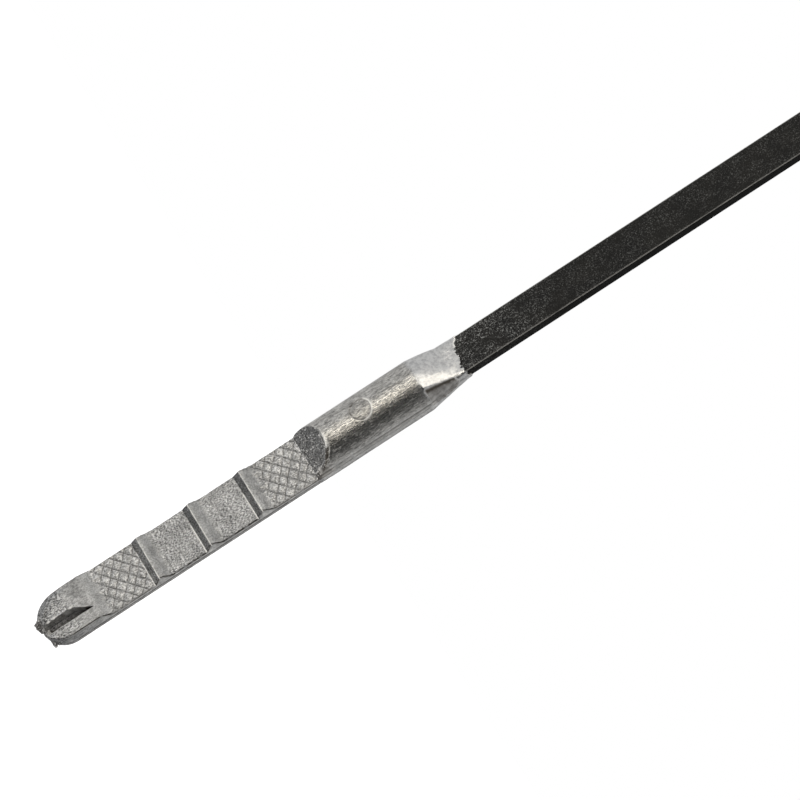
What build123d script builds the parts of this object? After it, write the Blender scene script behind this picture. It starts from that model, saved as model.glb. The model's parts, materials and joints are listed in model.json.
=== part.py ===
from build123d import *
import math
import os

# Fluid-level dipstick: a die-cast gauge head on a flat steel blade, hung from a
# cam-lever locking cap. Millimetres, +Z up along the blade. The origin is on the
# axis in the seat plane, where the cap's gasket rests on the filler tube's rim.
# The gauge face looks towards -Y.

os.makedirs("parts", exist_ok=True)

# ---- driving dimensions -------------------------------------------------------
TIP_DEPTH = 220.0          # seat plane down to the end of the gauge head

# gauge head, stations measured up from its lower end
HEAD_WIDTH = 8.9
HEAD_BACK = 2.0            # metal behind the gauge plane
STEP_HEIGHT = 1.15         # plateau and level ridges above the gauge plane
STEP_DRAFT = 0.22          # each side face leans in this far over STEP_HEIGHT
BARREL_RADIUS = 4.5
NOSE_START = 0.6           # apex of the rounded nose; the gate remnant reaches 0
PLATEAU_END = 10.5
PLATEAU_FOOT = 12.1
RIDGE_CRESTS = [21.8, 31.8, 41.8]
RIDGE_RISE = 1.2           # steep lower side of a ridge, along the head
RIDGE_FALL = 1.8           # gentle upper side
BARREL_FOOT = 52.4
BARREL_END = 74.4
TAPER_END = 79.6
COLLAR_END = 82.2
COLLAR_SKIN = 0.25         # thickness of the collar round the blade
TAPER_CROWN = 0.6          # arch left at the taper's small end, in front of the collar
SLOT_LEFT = 0.1            # nose slot, walls in X
SLOT_RIGHT = 1.97
SLOT_SHORT = 7.3           # slot length on its two walls
SLOT_LONG = 10.4
SLOT_DEPTH_BELOW_PLANE = 1.2
GATE_WIDTH = 3.4           # torn remnant of the casting gate across the nose
GATE_THICK = 1.5
GATE_LENGTH = 1.4
GATE_OFFSET_Y = 0.35       # its middle lies this far behind the gauge plane

# blade
BLADE_WIDTH = 6.6
BLADE_THICK = 2.4
BLADE_ROUNDING = 0.35      # its long edges
BLADE_FOOT = 57.5          # station of the blade's lower end, inside the barrel
KEY_RADIUS = 1.4           # hole in the blade that the casting fills
KEY_STATION = 64.0

# draw rod and what it carries
ROD_RADIUS = 3.0
ROD_CLEARANCE = 0.075      # running fit in the cap
LOOSE_CLEARANCE = 0.3
SNUG_CLEARANCE = 0.05      # washers on the rod, and the pin in the rod's eye
ROD_FLATS = 5.0            # distance over the flats of the upper end
ROD_FLATS_SINK = 1.0       # they reach this far into the cap with the rod drawn up
EYE_RADIUS = 4.2
PIN_RADIUS = 2.0

# cap, from the seat plane up and down
GASKET_THICK = 1.5
GASKET_RADIUS = 15.0
GASKET_RELIEF = 0.8        # bevel of its lower inner edge, so that the rim meets it outside the spigot
FLANGE_RADIUS = 16.0
FLANGE_TOP = 5.5
HUB_RADIUS = 9.5
HUB_TOP = 11.0
SPIGOT_RADIUS = 10.6       # enters the 22 mm bore of the filler tube
SPIGOT_DEPTH = 4.0
NECK_RADIUS = 10.2         # groove that holds the gasket
FLUTE_COUNT = 24           # grip flutes round the flange
FLUTE_RADIUS = 0.8
FLUTE_SETBACK = 0.25       # flute centres lie this far outside the flange
FLANGE_BEVEL = 0.6
HUB_ROUNDING = 0.4
WEAR_PLATE_THICK = 1.0
WEAR_PLATE_RADIUS = 9.0
O_RING_SECTION = 0.9       # radius of the ring's section
O_RING_CENTRE = 9.6        # height of the ring

# expansion seal
SEAL_RADIUS = 10.5
SEAL_LENGTH = 16.0
SEAL_BEVEL = 0.8
BACKING_RADIUS = 10.3
UPPER_WASHER_THICK = 1.2
LOWER_WASHER_THICK = 1.5
LOCK_WASHER_THICK = 1.5
LOCK_WASHER_RADIUS = 5.0
LOCK_WASHER_SPLIT = 0.7
SPLIT_SLANT = 20           # degrees
NUT_ACROSS_FLATS = 10.0
NUT_HEIGHT = 5.0
NUT_CONE_SLOPE = 0.82      # growth in radius of the nut's bevel cone per millimetre of height
SEAL_GAP = 0.1             # between the relaxed seal and the washer below it

# blade socket
SOCKET_RADIUS = 5.0
SOCKET_LENGTH = 19.0
SOCKET_FLAT_Y = 3.6        # the flats milled front and back for the rivets
SOCKET_FLATS_DEPTH = 7.0   # they start this far below the socket's top
SOCKET_PIN_DEPTH = 4.0
SOCKET_PIN_RADIUS = 1.0
SOCKET_PIN_BORE = 0.55
SOCKET_PIN_SLIT = 0.3
SOCKET_PIN_SINK = 0.2      # each end of the pin lies this far inside the socket
SOCKET_BEVEL = 0.5
RIVET_RADIUS = 1.25
RIVET_HEAD_RADIUS = 2.1
RIVET_HEAD_HEIGHT = 0.9
RIVET_DEPTHS = [10.0, 15.0]   # below the top of the socket
BLADE_INSERTION = 11.5
ROD_TO_BLADE = 0.5         # gap between their ends inside the socket

# cam lever
CAM_LOW = 7.0              # pivot to wear plate, lever upright
CAM_RISE = 3.0             # extra height with the lever folded through 90 degrees
CAM_GAP = 0.1              # running gap under the cam
CHEEK_INNER = 2.8
CHEEK_OUTER = 8.3
CHEEK_BACK = 6.0
SOLE_BACK = 3.0            # the cam's flat reaches this far behind the pivot
HEEL_RISE = 3.0            # height of the rounded heel behind it
HIP_RISE = 3.0             # the straight back of a cheek ends this far above the pivot
CHEEK_ROUNDING = 0.7
BRIDGE_FOOT = 5.6          # the cheeks join this far above the pivot
NECK_TOP = 14.0
LOOP_CENTRE = 25.0         # centre of the finger loop above the pivot
LOOP_OUTER = 13.0
LOOP_INNER = 8.6
LOOP_THICK = 7.0
LOOP_OUTER_ROUNDING = 2.2
LOOP_INNER_ROUNDING = 1.5
PIN_HEAD_RADIUS = 3.4
PIN_HEAD_THICK = 1.2
PIN_TAIL = 10.4            # end of the pin from the lever's middle
CLIP_THICK = 0.7
CLIP_RADIUS = 3.9
GROOVE_RADIUS = 1.5
GROOVE_SETBACK = 0.1       # between the cheek and the clip
CLIP_MOUTH = 2.85
CLIP_RELIEF_RADIUS = 0.75  # two notches that make the clip springy
CLIP_RELIEF_Y = 2.1
CLIP_RELIEF_Z = 1.2
PIN_HEAD_BEVEL = 0.4

# ---- levels worked out from them ----------------------------------------------
WEAR_TOP = HUB_TOP + WEAR_PLATE_THICK
PIVOT_Z = WEAR_TOP + CAM_LOW + CAM_GAP
UPPER_WASHER_Z = -SPIGOT_DEPTH
SEAL_TOP = UPPER_WASHER_Z - UPPER_WASHER_THICK
SEAL_BOTTOM = SEAL_TOP - SEAL_LENGTH
LOWER_WASHER_TOP = SEAL_BOTTOM - SEAL_GAP
LOCK_WASHER_TOP = LOWER_WASHER_TOP - LOWER_WASHER_THICK
NUT_TOP = LOCK_WASHER_TOP - LOCK_WASHER_THICK
SOCKET_TOP = NUT_TOP - NUT_HEIGHT
SOCKET_BOTTOM = SOCKET_TOP - SOCKET_LENGTH
BLADE_TOP = SOCKET_BOTTOM + BLADE_INSERTION
ROD_BOTTOM = BLADE_TOP + ROD_TO_BLADE


def level(station):
    """Height of a point of the gauge head, from its distance above the lower end."""
    return station - TIP_DEPTH


def disc(radius, z_low, z_high):
    """Upright round bar between two heights."""
    return Pos(0, 0, (z_low + z_high) / 2) * Cylinder(radius, z_high - z_low)


def ring(radius, bore, z_low, z_high):
    """Upright ring or washer between two heights."""
    return disc(radius, z_low, z_high) - disc(bore, z_low - 1, z_high + 1)


def rod_along_x(radius, x_low, x_high, z):
    """Round bar parallel to X at height z."""
    bar = Rot(0, 90, 0) * Cylinder(radius, x_high - x_low)
    return Pos((x_low + x_high) / 2, 0, z) * bar


def rod_along_y(radius, y_low, y_high, z):
    """Round bar parallel to Y at height z."""
    bar = Rot(90, 0, 0) * Cylinder(radius, y_high - y_low)
    return Pos(0, (y_low + y_high) / 2, z) * bar


def block(x_size, y_low, y_high, z_low, z_high):
    """Box centred on X = 0."""
    box = Box(x_size, y_high - y_low, z_high - z_low)
    return Pos(0, (y_low + y_high) / 2, (z_low + z_high) / 2) * box


# ---- cap ----------------------------------------------------------------------
def make_cap_body():
    """Moulded cap: flange with grip flutes, hub above and spigot below."""
    flange = disc(FLANGE_RADIUS, GASKET_THICK, FLANGE_TOP)
    flange = chamfer(flange.edges().filter_by(GeomType.CIRCLE), FLANGE_BEVEL)
    hub = disc(HUB_RADIUS, FLANGE_TOP, HUB_TOP)
    hub = fillet(hub.edges().filter_by(GeomType.CIRCLE).sort_by(Axis.Z)[-1], HUB_ROUNDING)
    neck = disc(NECK_RADIUS, 0, GASKET_THICK)
    spigot = disc(SPIGOT_RADIUS, -SPIGOT_DEPTH, 0)
    body = flange + hub + neck + spigot
    flutes = [
        Rot(0, 0, 360 * i / FLUTE_COUNT) * Pos(FLANGE_RADIUS + FLUTE_SETBACK, 0, 0)
        * Cylinder(FLUTE_RADIUS, 4 * FLANGE_TOP)
        for i in range(FLUTE_COUNT)
    ]
    bore = disc(ROD_RADIUS + ROD_CLEARANCE, -SPIGOT_DEPTH - 1, HUB_TOP + 1)
    gland_radius = ROD_RADIUS + SNUG_CLEARANCE + 2 * O_RING_SECTION
    gland = disc(gland_radius, O_RING_CENTRE - O_RING_SECTION, HUB_TOP + 1)
    return body - flutes - bore - gland


def make_rod_o_ring():
    """Dust ring in the hub, round the draw rod."""
    ring_radius = ROD_RADIUS + SNUG_CLEARANCE + O_RING_SECTION
    return Pos(0, 0, O_RING_CENTRE) * Torus(ring_radius, O_RING_SECTION)


def make_seat_gasket():
    """Flat ring under the flange; its lower face is the seat plane."""
    gasket = ring(GASKET_RADIUS, NECK_RADIUS, 0, GASKET_THICK)
    bore_edges = gasket.edges().filter_by(GeomType.CIRCLE).group_by(SortBy.RADIUS)[0]
    return chamfer(bore_edges.sort_by(Axis.Z)[0], GASKET_RELIEF)


def make_wear_plate():
    """Steel washer that the cams run on."""
    return ring(WEAR_PLATE_RADIUS, ROD_RADIUS + LOOSE_CLEARANCE, HUB_TOP, WEAR_TOP)


def make_upper_washer():
    """Backing washer between the spigot and the seal."""
    return ring(BACKING_RADIUS, ROD_RADIUS + LOOSE_CLEARANCE, SEAL_TOP, UPPER_WASHER_Z)


def make_expansion_seal():
    """Rubber sleeve that bulges in the filler tube when the rod is drawn up."""
    sleeve = ring(SEAL_RADIUS, ROD_RADIUS + LOOSE_CLEARANCE, SEAL_BOTTOM, SEAL_TOP)
    rims = sleeve.edges().filter_by(GeomType.CIRCLE).group_by(SortBy.RADIUS)[-1]
    return chamfer(rims, SEAL_BEVEL)


# ---- draw rod -----------------------------------------------------------------
def make_draw_rod():
    """Round rod, flattened at the top into an eye for the lever's pin."""
    shank = disc(ROD_RADIUS, ROD_BOTTOM, PIVOT_Z)
    eye = rod_along_x(EYE_RADIUS, -ROD_FLATS / 2, ROD_FLATS / 2, PIVOT_Z)
    flats_foot = WEAR_TOP - CAM_RISE - ROD_FLATS_SINK
    flats_top = PIVOT_Z + EYE_RADIUS + 1
    side_width = EYE_RADIUS
    side = block(side_width, -EYE_RADIUS - 1, EYE_RADIUS + 1, flats_foot, flats_top)
    offset = (ROD_FLATS + side_width) / 2
    rod = shank + eye - Pos(offset, 0, 0) * side - Pos(-offset, 0, 0) * side
    pin_hole = rod_along_x(PIN_RADIUS + SNUG_CLEARANCE, -EYE_RADIUS, EYE_RADIUS, PIVOT_Z)
    return rod - pin_hole - socket_pin_hole()


def make_lower_washer():
    """Backing washer under the seal."""
    low = LOWER_WASHER_TOP - LOWER_WASHER_THICK
    return ring(BACKING_RADIUS, ROD_RADIUS + SNUG_CLEARANCE, low, LOWER_WASHER_TOP)


def make_lock_washer():
    """Split spring washer under the lower backing washer."""
    washer = ring(LOCK_WASHER_RADIUS, ROD_RADIUS + SNUG_CLEARANCE, NUT_TOP, LOCK_WASHER_TOP)
    cutter = Rot(SPLIT_SLANT, 0, 0) * Box(ROD_RADIUS, LOCK_WASHER_SPLIT, 4 * LOCK_WASHER_THICK)
    wall_middle = (ROD_RADIUS + LOCK_WASHER_RADIUS) / 2
    return washer - Pos(wall_middle, 0, (NUT_TOP + LOCK_WASHER_TOP) / 2) * cutter


def make_clamp_nut():
    """Hexagon nut that sets the seal's length."""
    inner_radius = NUT_ACROSS_FLATS / 2
    hexagon = RegularPolygon(inner_radius, 6, major_radius=False)
    nut = Pos(0, 0, SOCKET_TOP) * extrude(hexagon, NUT_HEIGHT)
    middle = Pos(0, 0, SOCKET_TOP + NUT_HEIGHT / 2)
    corner_cone = Cone(inner_radius + NUT_CONE_SLOPE * NUT_HEIGHT, inner_radius, NUT_HEIGHT)
    nut = nut & (middle * corner_cone) & (middle * Rot(180, 0, 0) * corner_cone)
    return nut - disc(ROD_RADIUS, SOCKET_TOP - 1, NUT_TOP + 1)


def socket_pin_hole():
    """Bar that cuts the spring pin's hole."""
    reach = SOCKET_RADIUS + 1
    return rod_along_x(SOCKET_PIN_RADIUS, -reach, reach, SOCKET_TOP - SOCKET_PIN_DEPTH)


def rivet_shanks():
    """Bars that cut the rivet holes, through the socket and the blade."""
    reach = SOCKET_RADIUS + 1
    return [rod_along_y(RIVET_RADIUS, -reach, reach, SOCKET_TOP - d) for d in RIVET_DEPTHS]


def make_blade_socket():
    """Turned socket: rod in the top, blade in the slot below, flat front and back."""
    socket = disc(SOCKET_RADIUS, SOCKET_BOTTOM, SOCKET_TOP)
    socket = chamfer(socket.edges().filter_by(GeomType.CIRCLE), SOCKET_BEVEL)
    flat_top = SOCKET_TOP - SOCKET_FLATS_DEPTH
    beyond = SOCKET_RADIUS + 1
    front = block(2 * beyond, -beyond, -SOCKET_FLAT_Y, SOCKET_BOTTOM - 1, flat_top)
    back = block(2 * beyond, SOCKET_FLAT_Y, beyond, SOCKET_BOTTOM - 1, flat_top)
    rod_space = disc(ROD_RADIUS, ROD_BOTTOM, SOCKET_TOP + 1)
    half_thick = BLADE_THICK / 2
    blade_space = block(BLADE_WIDTH, -half_thick, half_thick, SOCKET_BOTTOM - 1, BLADE_TOP)
    socket = socket - front - back - rod_space - blade_space
    return socket - socket_pin_hole() - rivet_shanks()


def make_socket_pin():
    """Spring pin that locks the socket to the rod: a slit tube."""
    reach = SOCKET_RADIUS - SOCKET_PIN_SINK
    z = SOCKET_TOP - SOCKET_PIN_DEPTH
    pin = rod_along_x(SOCKET_PIN_RADIUS, -reach, reach, z)
    hollow = rod_along_x(SOCKET_PIN_BORE, -reach - 1, reach + 1, z)
    half_slit = SOCKET_PIN_SLIT / 2
    slit = block(2 * reach + 2, -half_slit, half_slit, z, z + 2 * SOCKET_PIN_RADIUS)
    return pin - hollow - slit


def make_blade_rivets():
    """Two round-headed rivets, heads on both flats of the socket."""
    dome_radius = (RIVET_HEAD_RADIUS ** 2 + RIVET_HEAD_HEIGHT ** 2) / (2 * RIVET_HEAD_HEIGHT)
    sink = dome_radius - RIVET_HEAD_HEIGHT
    rivets = []
    for depth in RIVET_DEPTHS:
        z = SOCKET_TOP - depth
        rivet = rod_along_y(RIVET_RADIUS, -SOCKET_FLAT_Y, SOCKET_FLAT_Y, z)
        for side in (-1, 1):
            ball = Pos(0, side * (SOCKET_FLAT_Y - sink), z) * Sphere(dome_radius)
            low, high = sorted((side * SOCKET_FLAT_Y, side * (SOCKET_FLAT_Y + dome_radius)))
            rivet = rivet + (ball & block(4 * RIVET_RADIUS, low, high, z - 4, z + 4))
        rivets.append(rivet)
    return Compound(children=rivets)


# ---- blade and gauge head -----------------------------------------------------
def make_blade():
    """Flat steel bar with softened long edges and a keying hole at its foot."""
    bar = block(BLADE_WIDTH, -BLADE_THICK / 2, BLADE_THICK / 2, level(BLADE_FOOT), BLADE_TOP)
    bar = fillet(bar.edges().filter_by(Axis.Z), BLADE_ROUNDING)
    key = rod_along_y(KEY_RADIUS, -BLADE_THICK, BLADE_THICK, level(KEY_STATION))
    return bar - key - rivet_shanks()


def gauge_outline():
    """Side outline of the head as (Y, Z) points: back, then the gauge face upwards."""
    points = [(HEAD_BACK, level(BARREL_END)), (HEAD_BACK, level(0)), (-STEP_HEIGHT, level(0))]
    points.append((-STEP_HEIGHT, level(PLATEAU_END)))
    points.append((0, level(PLATEAU_FOOT)))
    for crest in RIDGE_CRESTS:
        points.append((0, level(crest - RIDGE_RISE)))
        points.append((-STEP_HEIGHT, level(crest)))
        points.append((0, level(crest + RIDGE_FALL)))
    points.append((0, level(BARREL_FOOT)))
    points.append((-BARREL_RADIUS, level(BARREL_FOOT + BARREL_RADIUS)))
    points.append((-BARREL_RADIUS, level(BARREL_END)))
    return points


def arched_section(half_width, front, back):
    """D-shaped section: straight back and sides, arched front."""
    left = (-half_width, 0)
    right = (half_width, 0)
    arch = ThreePointArc(left, (0, -front), right)
    frame = Polyline(right, (half_width, back), (-half_width, back), left)
    return make_face(arch + frame)


def make_gauge_tip():
    """Die-cast gauge head with nose slot, plateau, three level ridges and barrel."""
    side_view = Plane.YZ * make_face(Polyline(*gauge_outline(), close=True))
    solid_profile = extrude(side_view, HEAD_WIDTH, both=True)
    half = HEAD_WIDTH / 2
    margin = 4                 # the tapered section is carried on past the barrel's height
    top = STEP_HEIGHT * margin
    lean = STEP_DRAFT * margin
    gauge_section = make_face(Polyline(
        (-half, HEAD_BACK), (half, HEAD_BACK), (half, 0), (half - lean, -top),
        (-half + lean, -top), (-half, 0), close=True))
    gauge_envelope = Pos(0, 0, level(0)) * extrude(gauge_section, BARREL_FOOT)
    arch = arched_section(BARREL_RADIUS, BARREL_RADIUS, HEAD_BACK)
    barrel_envelope = Pos(0, 0, level(BARREL_FOOT)) * extrude(arch, BARREL_END - BARREL_FOOT)
    head = (solid_profile & gauge_envelope) + (solid_profile & barrel_envelope)

    nose_centre = level(NOSE_START) + half
    nose_disc = rod_along_y(half, -HEAD_WIDTH, HEAD_WIDTH, nose_centre)
    nose_limits = nose_disc + block(2 * HEAD_WIDTH, -HEAD_WIDTH, HEAD_WIDTH, nose_centre, 0)
    head = head & nose_limits

    collar_half = BLADE_WIDTH / 2 + COLLAR_SKIN
    collar_front = BLADE_THICK / 2 + COLLAR_SKIN
    small = arched_section(collar_half, collar_front + TAPER_CROWN, collar_front)
    taper = loft([Pos(0, 0, level(BARREL_END)) * arch, Pos(0, 0, level(TAPER_END)) * small])
    collar = block(2 * collar_half, -collar_front, collar_front, level(TAPER_END) - 0.5, level(COLLAR_END))
    head = head + taper + collar

    slot_plan = make_face(Polyline(
        (SLOT_LEFT, level(-1)), (SLOT_LEFT, level(SLOT_SHORT)), (SLOT_RIGHT, level(SLOT_LONG)),
        (SLOT_RIGHT, level(-1)), close=True))
    slot_cut = extrude(Plane.XZ * slot_plan, 2 * STEP_HEIGHT)
    slot_cut = slot_cut + extrude(Plane.XZ * slot_plan, -SLOT_DEPTH_BELOW_PLANE)
    head = head - slot_cut
    gate_remnant = Pos(0, GATE_OFFSET_Y, level(GATE_LENGTH / 2)) * Box(GATE_WIDTH, GATE_THICK, GATE_LENGTH)
    return head + gate_remnant - make_blade()


# ---- lever --------------------------------------------------------------------
def cam_point(turn):
    """Point of the cam that touches the wear plate after the lever turns by turn.

    The cam's height above the plate grows evenly with the turn, so the profile is
    the curve whose supporting line in direction turn stands that far from the pivot.
    """
    rate = CAM_RISE / (math.pi / 2)
    reach = CAM_LOW + rate * turn
    y = -reach * math.sin(turn) - rate * math.cos(turn)
    z = -reach * math.cos(turn) + rate * math.sin(turn)
    return (y, z + PIVOT_Z)


def cheek_face():
    """Side view of one cam cheek, in (Y, Z)."""
    steps = 8                  # points that carry the cam's curve
    cam = [cam_point(math.pi / 2 * i / steps) for i in range(steps + 1)]
    cam_curve = Spline(*cam, tangents=[(-1, 0), (0, 1)])
    foot_back = (SOLE_BACK, PIVOT_Z - CAM_LOW)
    knee = (CHEEK_BACK, PIVOT_Z - CAM_LOW + HEEL_RISE)
    hip = (CHEEK_BACK, PIVOT_Z + HIP_RISE)
    waist_back = (LOOP_THICK / 2, PIVOT_Z + NECK_TOP)
    waist_front = (-LOOP_THICK / 2, PIVOT_Z + NECK_TOP)
    sole = Line(foot_back, cam[0])
    heel = TangentArc(foot_back, knee, tangent=(1, 0))
    back = Polyline(knee, hip, waist_back, waist_front, cam[-1])
    return make_face(cam_curve + sole + heel + back)


def make_cam_lever():
    """Moulded lever: forked cam hub, neck and finger loop."""
    hub = extrude(Plane.YZ * cheek_face(), CHEEK_OUTER, both=True)
    for flank in (hub.faces().sort_by(Axis.X)[0], hub.faces().sort_by(Axis.X)[-1]):
        hub = fillet(flank.edges(), CHEEK_ROUNDING)
    fork_reach = 2 * LOOP_OUTER
    fork = block(2 * CHEEK_INNER, -fork_reach, fork_reach, PIVOT_Z - fork_reach, PIVOT_Z + BRIDGE_FOOT)
    loop_z = PIVOT_Z + LOOP_CENTRE
    loop = rod_along_y(LOOP_OUTER, -LOOP_THICK / 2, LOOP_THICK / 2, loop_z)
    loop = fillet(loop.edges().filter_by(GeomType.CIRCLE), LOOP_OUTER_ROUNDING)
    hole = rod_along_y(LOOP_INNER, -LOOP_THICK, LOOP_THICK, loop_z)
    lever = (hub - fork) + loop - hole
    rim = lever.edges().filter_by(GeomType.CIRCLE).filter_by(
        lambda edge: abs(edge.radius - LOOP_INNER) < 0.01)
    lever = fillet(rim, LOOP_INNER_ROUNDING)
    pin_hole = rod_along_x(PIN_RADIUS, -CHEEK_OUTER - 1, CHEEK_OUTER + 1, PIVOT_Z)
    return lever - pin_hole


def make_pivot_pin():
    """Headed pin with a groove for the retaining clip."""
    shank = rod_along_x(PIN_RADIUS, -PIN_TAIL, CHEEK_OUTER, PIVOT_Z)
    head = rod_along_x(PIN_HEAD_RADIUS, CHEEK_OUTER, CHEEK_OUTER + PIN_HEAD_THICK, PIVOT_Z)
    head = chamfer(head.edges().filter_by(GeomType.CIRCLE).sort_by(Axis.X)[-1], PIN_HEAD_BEVEL)
    groove_x = -CHEEK_OUTER - GROOVE_SETBACK
    band = rod_along_x(PIN_RADIUS + 1, groove_x - CLIP_THICK, groove_x, PIVOT_Z)
    core = rod_along_x(GROOVE_RADIUS, groove_x - CLIP_THICK, groove_x, PIVOT_Z)
    return shank + head - (band - core)


def make_pin_clip():
    """E-shaped retaining ring in the pin's groove, open downwards."""
    groove_x = -CHEEK_OUTER - GROOVE_SETBACK
    beyond = 2 * CLIP_THICK
    plate = rod_along_x(CLIP_RADIUS, groove_x - CLIP_THICK, groove_x, PIVOT_Z)
    bore = rod_along_x(GROOVE_RADIUS, groove_x - beyond, groove_x + beyond, PIVOT_Z)
    mouth_box = Box(2 * beyond, CLIP_MOUTH, 2 * CLIP_RADIUS)
    mouth = Pos(groove_x, 0, PIVOT_Z - CLIP_RADIUS) * mouth_box
    clip = plate - bore - mouth
    for side in (-1, 1):
        relief = rod_along_x(CLIP_RELIEF_RADIUS, groove_x - beyond, groove_x + beyond, PIVOT_Z)
        clip = clip - Pos(0, side * CLIP_RELIEF_Y, CLIP_RELIEF_Z) * relief
    return clip


NODES = {
    "cap_body": make_cap_body,
    "seat_gasket": make_seat_gasket,
    "rod_o_ring": make_rod_o_ring,
    "wear_plate": make_wear_plate,
    "upper_washer": make_upper_washer,
    "expansion_seal": make_expansion_seal,
    "draw_rod": make_draw_rod,
    "lower_washer": make_lower_washer,
    "lock_washer": make_lock_washer,
    "clamp_nut": make_clamp_nut,
    "blade_socket": make_blade_socket,
    "socket_pin": make_socket_pin,
    "blade": make_blade,
    "blade_rivets": make_blade_rivets,
    "gauge_tip": make_gauge_tip,
    "cam_lever": make_cam_lever,
    "pivot_pin": make_pivot_pin,
    "pin_clip": make_pin_clip,
}

for name, make in NODES.items():
    shape = make()
    export_step(shape, f"parts/{name}.step")
    print(name, round(shape.volume, 2))
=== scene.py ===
import json
import math

import bpy
import bmesh
import numpy as np
from mathutils import Matrix, Vector, noise


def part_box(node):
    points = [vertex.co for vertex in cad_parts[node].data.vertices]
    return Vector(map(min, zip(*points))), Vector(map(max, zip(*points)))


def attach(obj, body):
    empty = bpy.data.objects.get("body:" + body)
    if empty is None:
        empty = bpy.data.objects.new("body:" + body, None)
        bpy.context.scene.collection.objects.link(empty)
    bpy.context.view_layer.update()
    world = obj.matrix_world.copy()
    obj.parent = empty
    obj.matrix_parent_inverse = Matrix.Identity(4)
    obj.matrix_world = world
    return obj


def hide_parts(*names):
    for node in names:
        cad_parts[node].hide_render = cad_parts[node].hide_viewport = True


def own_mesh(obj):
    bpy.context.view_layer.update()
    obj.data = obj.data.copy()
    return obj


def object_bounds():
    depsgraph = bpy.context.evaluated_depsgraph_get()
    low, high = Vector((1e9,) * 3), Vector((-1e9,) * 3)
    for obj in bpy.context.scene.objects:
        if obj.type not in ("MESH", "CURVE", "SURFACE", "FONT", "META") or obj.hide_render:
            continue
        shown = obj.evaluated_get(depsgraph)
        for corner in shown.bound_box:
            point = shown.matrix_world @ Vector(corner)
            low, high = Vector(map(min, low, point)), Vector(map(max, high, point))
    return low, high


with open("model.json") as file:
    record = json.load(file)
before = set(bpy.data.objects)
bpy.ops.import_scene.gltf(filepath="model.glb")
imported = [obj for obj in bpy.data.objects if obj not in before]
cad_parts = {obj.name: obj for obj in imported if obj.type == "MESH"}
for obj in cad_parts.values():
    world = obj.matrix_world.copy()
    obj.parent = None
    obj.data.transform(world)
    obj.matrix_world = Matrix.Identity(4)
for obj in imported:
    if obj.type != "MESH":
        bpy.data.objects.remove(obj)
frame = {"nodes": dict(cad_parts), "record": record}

# Looks of the fluid dipstick. The pieces are made in millimetres and turned to
# metres by MM.
MM = 0.001
CAD_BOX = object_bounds()
NODES = frame["nodes"]
NOISE_SEED = 7
noise.seed_set(NOISE_SEED)    # noise_vector takes its offsets from this seed


# ---- small helpers --------------------------------------------------------------
def smooth(edge_low, edge_high, value):
    """0 below edge_low, 1 above edge_high, with a soft S between."""
    t = np.clip((np.asarray(value, float) - edge_low) / (edge_high - edge_low), 0, 1)
    return t * t * (3 - 2 * t)


def smoother(edge_low, edge_high, value):
    """As smooth, but with no sudden change of curvature at the ends."""
    t = np.clip((np.asarray(value, float) - edge_low) / (edge_high - edge_low), 0, 1)
    return t * t * t * (t * (6 * t - 15) + 10)


def bell(distance, width):
    """1 at distance 0, falling away on both sides over the given width."""
    return np.exp(-(distance / width) ** 2)


def window(value, rise_start, rise_end, fall_start, fall_end):
    """Soft-edged band: 1 between rise_end and fall_start, 0 outside."""
    return smooth(rise_start, rise_end, value) * (1 - smooth(fall_start, fall_end, value))


def raised(base, where, value):
    """base, lifted to value at the places where the condition holds."""
    return np.where(where, np.maximum(base, value), base)


def worn(base, gain, patchy, most=1.0):
    """Strength of a mark that comes and goes with the patchy noise."""
    return np.clip(base + gain * patchy, 0, most)


def fractal(points, size, octaves=3, offset=0.0):
    """Noise from about -1 to 1 at points (n, 3), with features of the given size."""
    scaled = np.asarray(points) / size + (offset, 0, 0)
    return np.array([noise.fractal(Vector(p), 0.9, 2.0, octaves) for p in scaled])


def link(obj):
    bpy.context.scene.collection.objects.link(obj)
    return obj


def shade_smooth(obj):
    obj.data.polygons.foreach_set("use_smooth", [True] * len(obj.data.polygons))


def mesh_object(name, verts, faces):
    mesh = bpy.data.meshes.new(name)
    mesh.from_pydata([tuple(v) for v in verts], [], faces)
    mesh.validate()
    mesh.update()
    return link(bpy.data.objects.new(name, mesh))


def outward(obj):
    """Makes the faces of a closed mesh look outwards, with smooth shading."""
    bm = bmesh.new()
    bm.from_mesh(obj.data)
    bmesh.ops.recalc_face_normals(bm, faces=bm.faces)
    bm.to_mesh(obj.data)
    bm.free()
    shade_smooth(obj)


def apply_modifiers(obj):
    depsgraph = bpy.context.evaluated_depsgraph_get()
    baked = bpy.data.meshes.new_from_object(obj.evaluated_get(depsgraph))
    old = obj.data
    obj.modifiers.clear()
    obj.data = baked
    bpy.data.meshes.remove(old)


def boolean(obj, tool, operation):
    """Cuts or joins tool into obj and removes tool. The solver needs millimetre-sized numbers."""
    before = len(obj.data.vertices)
    for item in (obj, tool):
        item.data.transform(Matrix.Scale(1 / MM, 4))
    modifier = obj.modifiers.new("bool", "BOOLEAN")
    modifier.operation = operation
    modifier.solver = "MANIFOLD"
    modifier.object = tool
    bpy.context.view_layer.update()
    apply_modifiers(obj)
    obj.data.transform(Matrix.Scale(MM, 4))
    if len(obj.data.vertices) < 0.9 * before:
        raise RuntimeError(f"{operation} with {tool.name} lost most of {obj.name}")
    bpy.data.objects.remove(tool)


def read_points(obj):
    """Vertex coordinates as an (n, 3) array."""
    points = np.empty(len(obj.data.vertices) * 3)
    obj.data.vertices.foreach_get("co", points)
    return points.reshape(-1, 3)


def store_finish(obj, *channels):
    """Stores four channels as the colour attribute that the materials read."""
    colours = np.clip(np.stack(channels, axis=-1), 0, 1)
    layer = obj.data.color_attributes.new("finish", "FLOAT_COLOR", "POINT")
    layer.data.foreach_set("color", colours.astype(np.float32).ravel())


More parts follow.
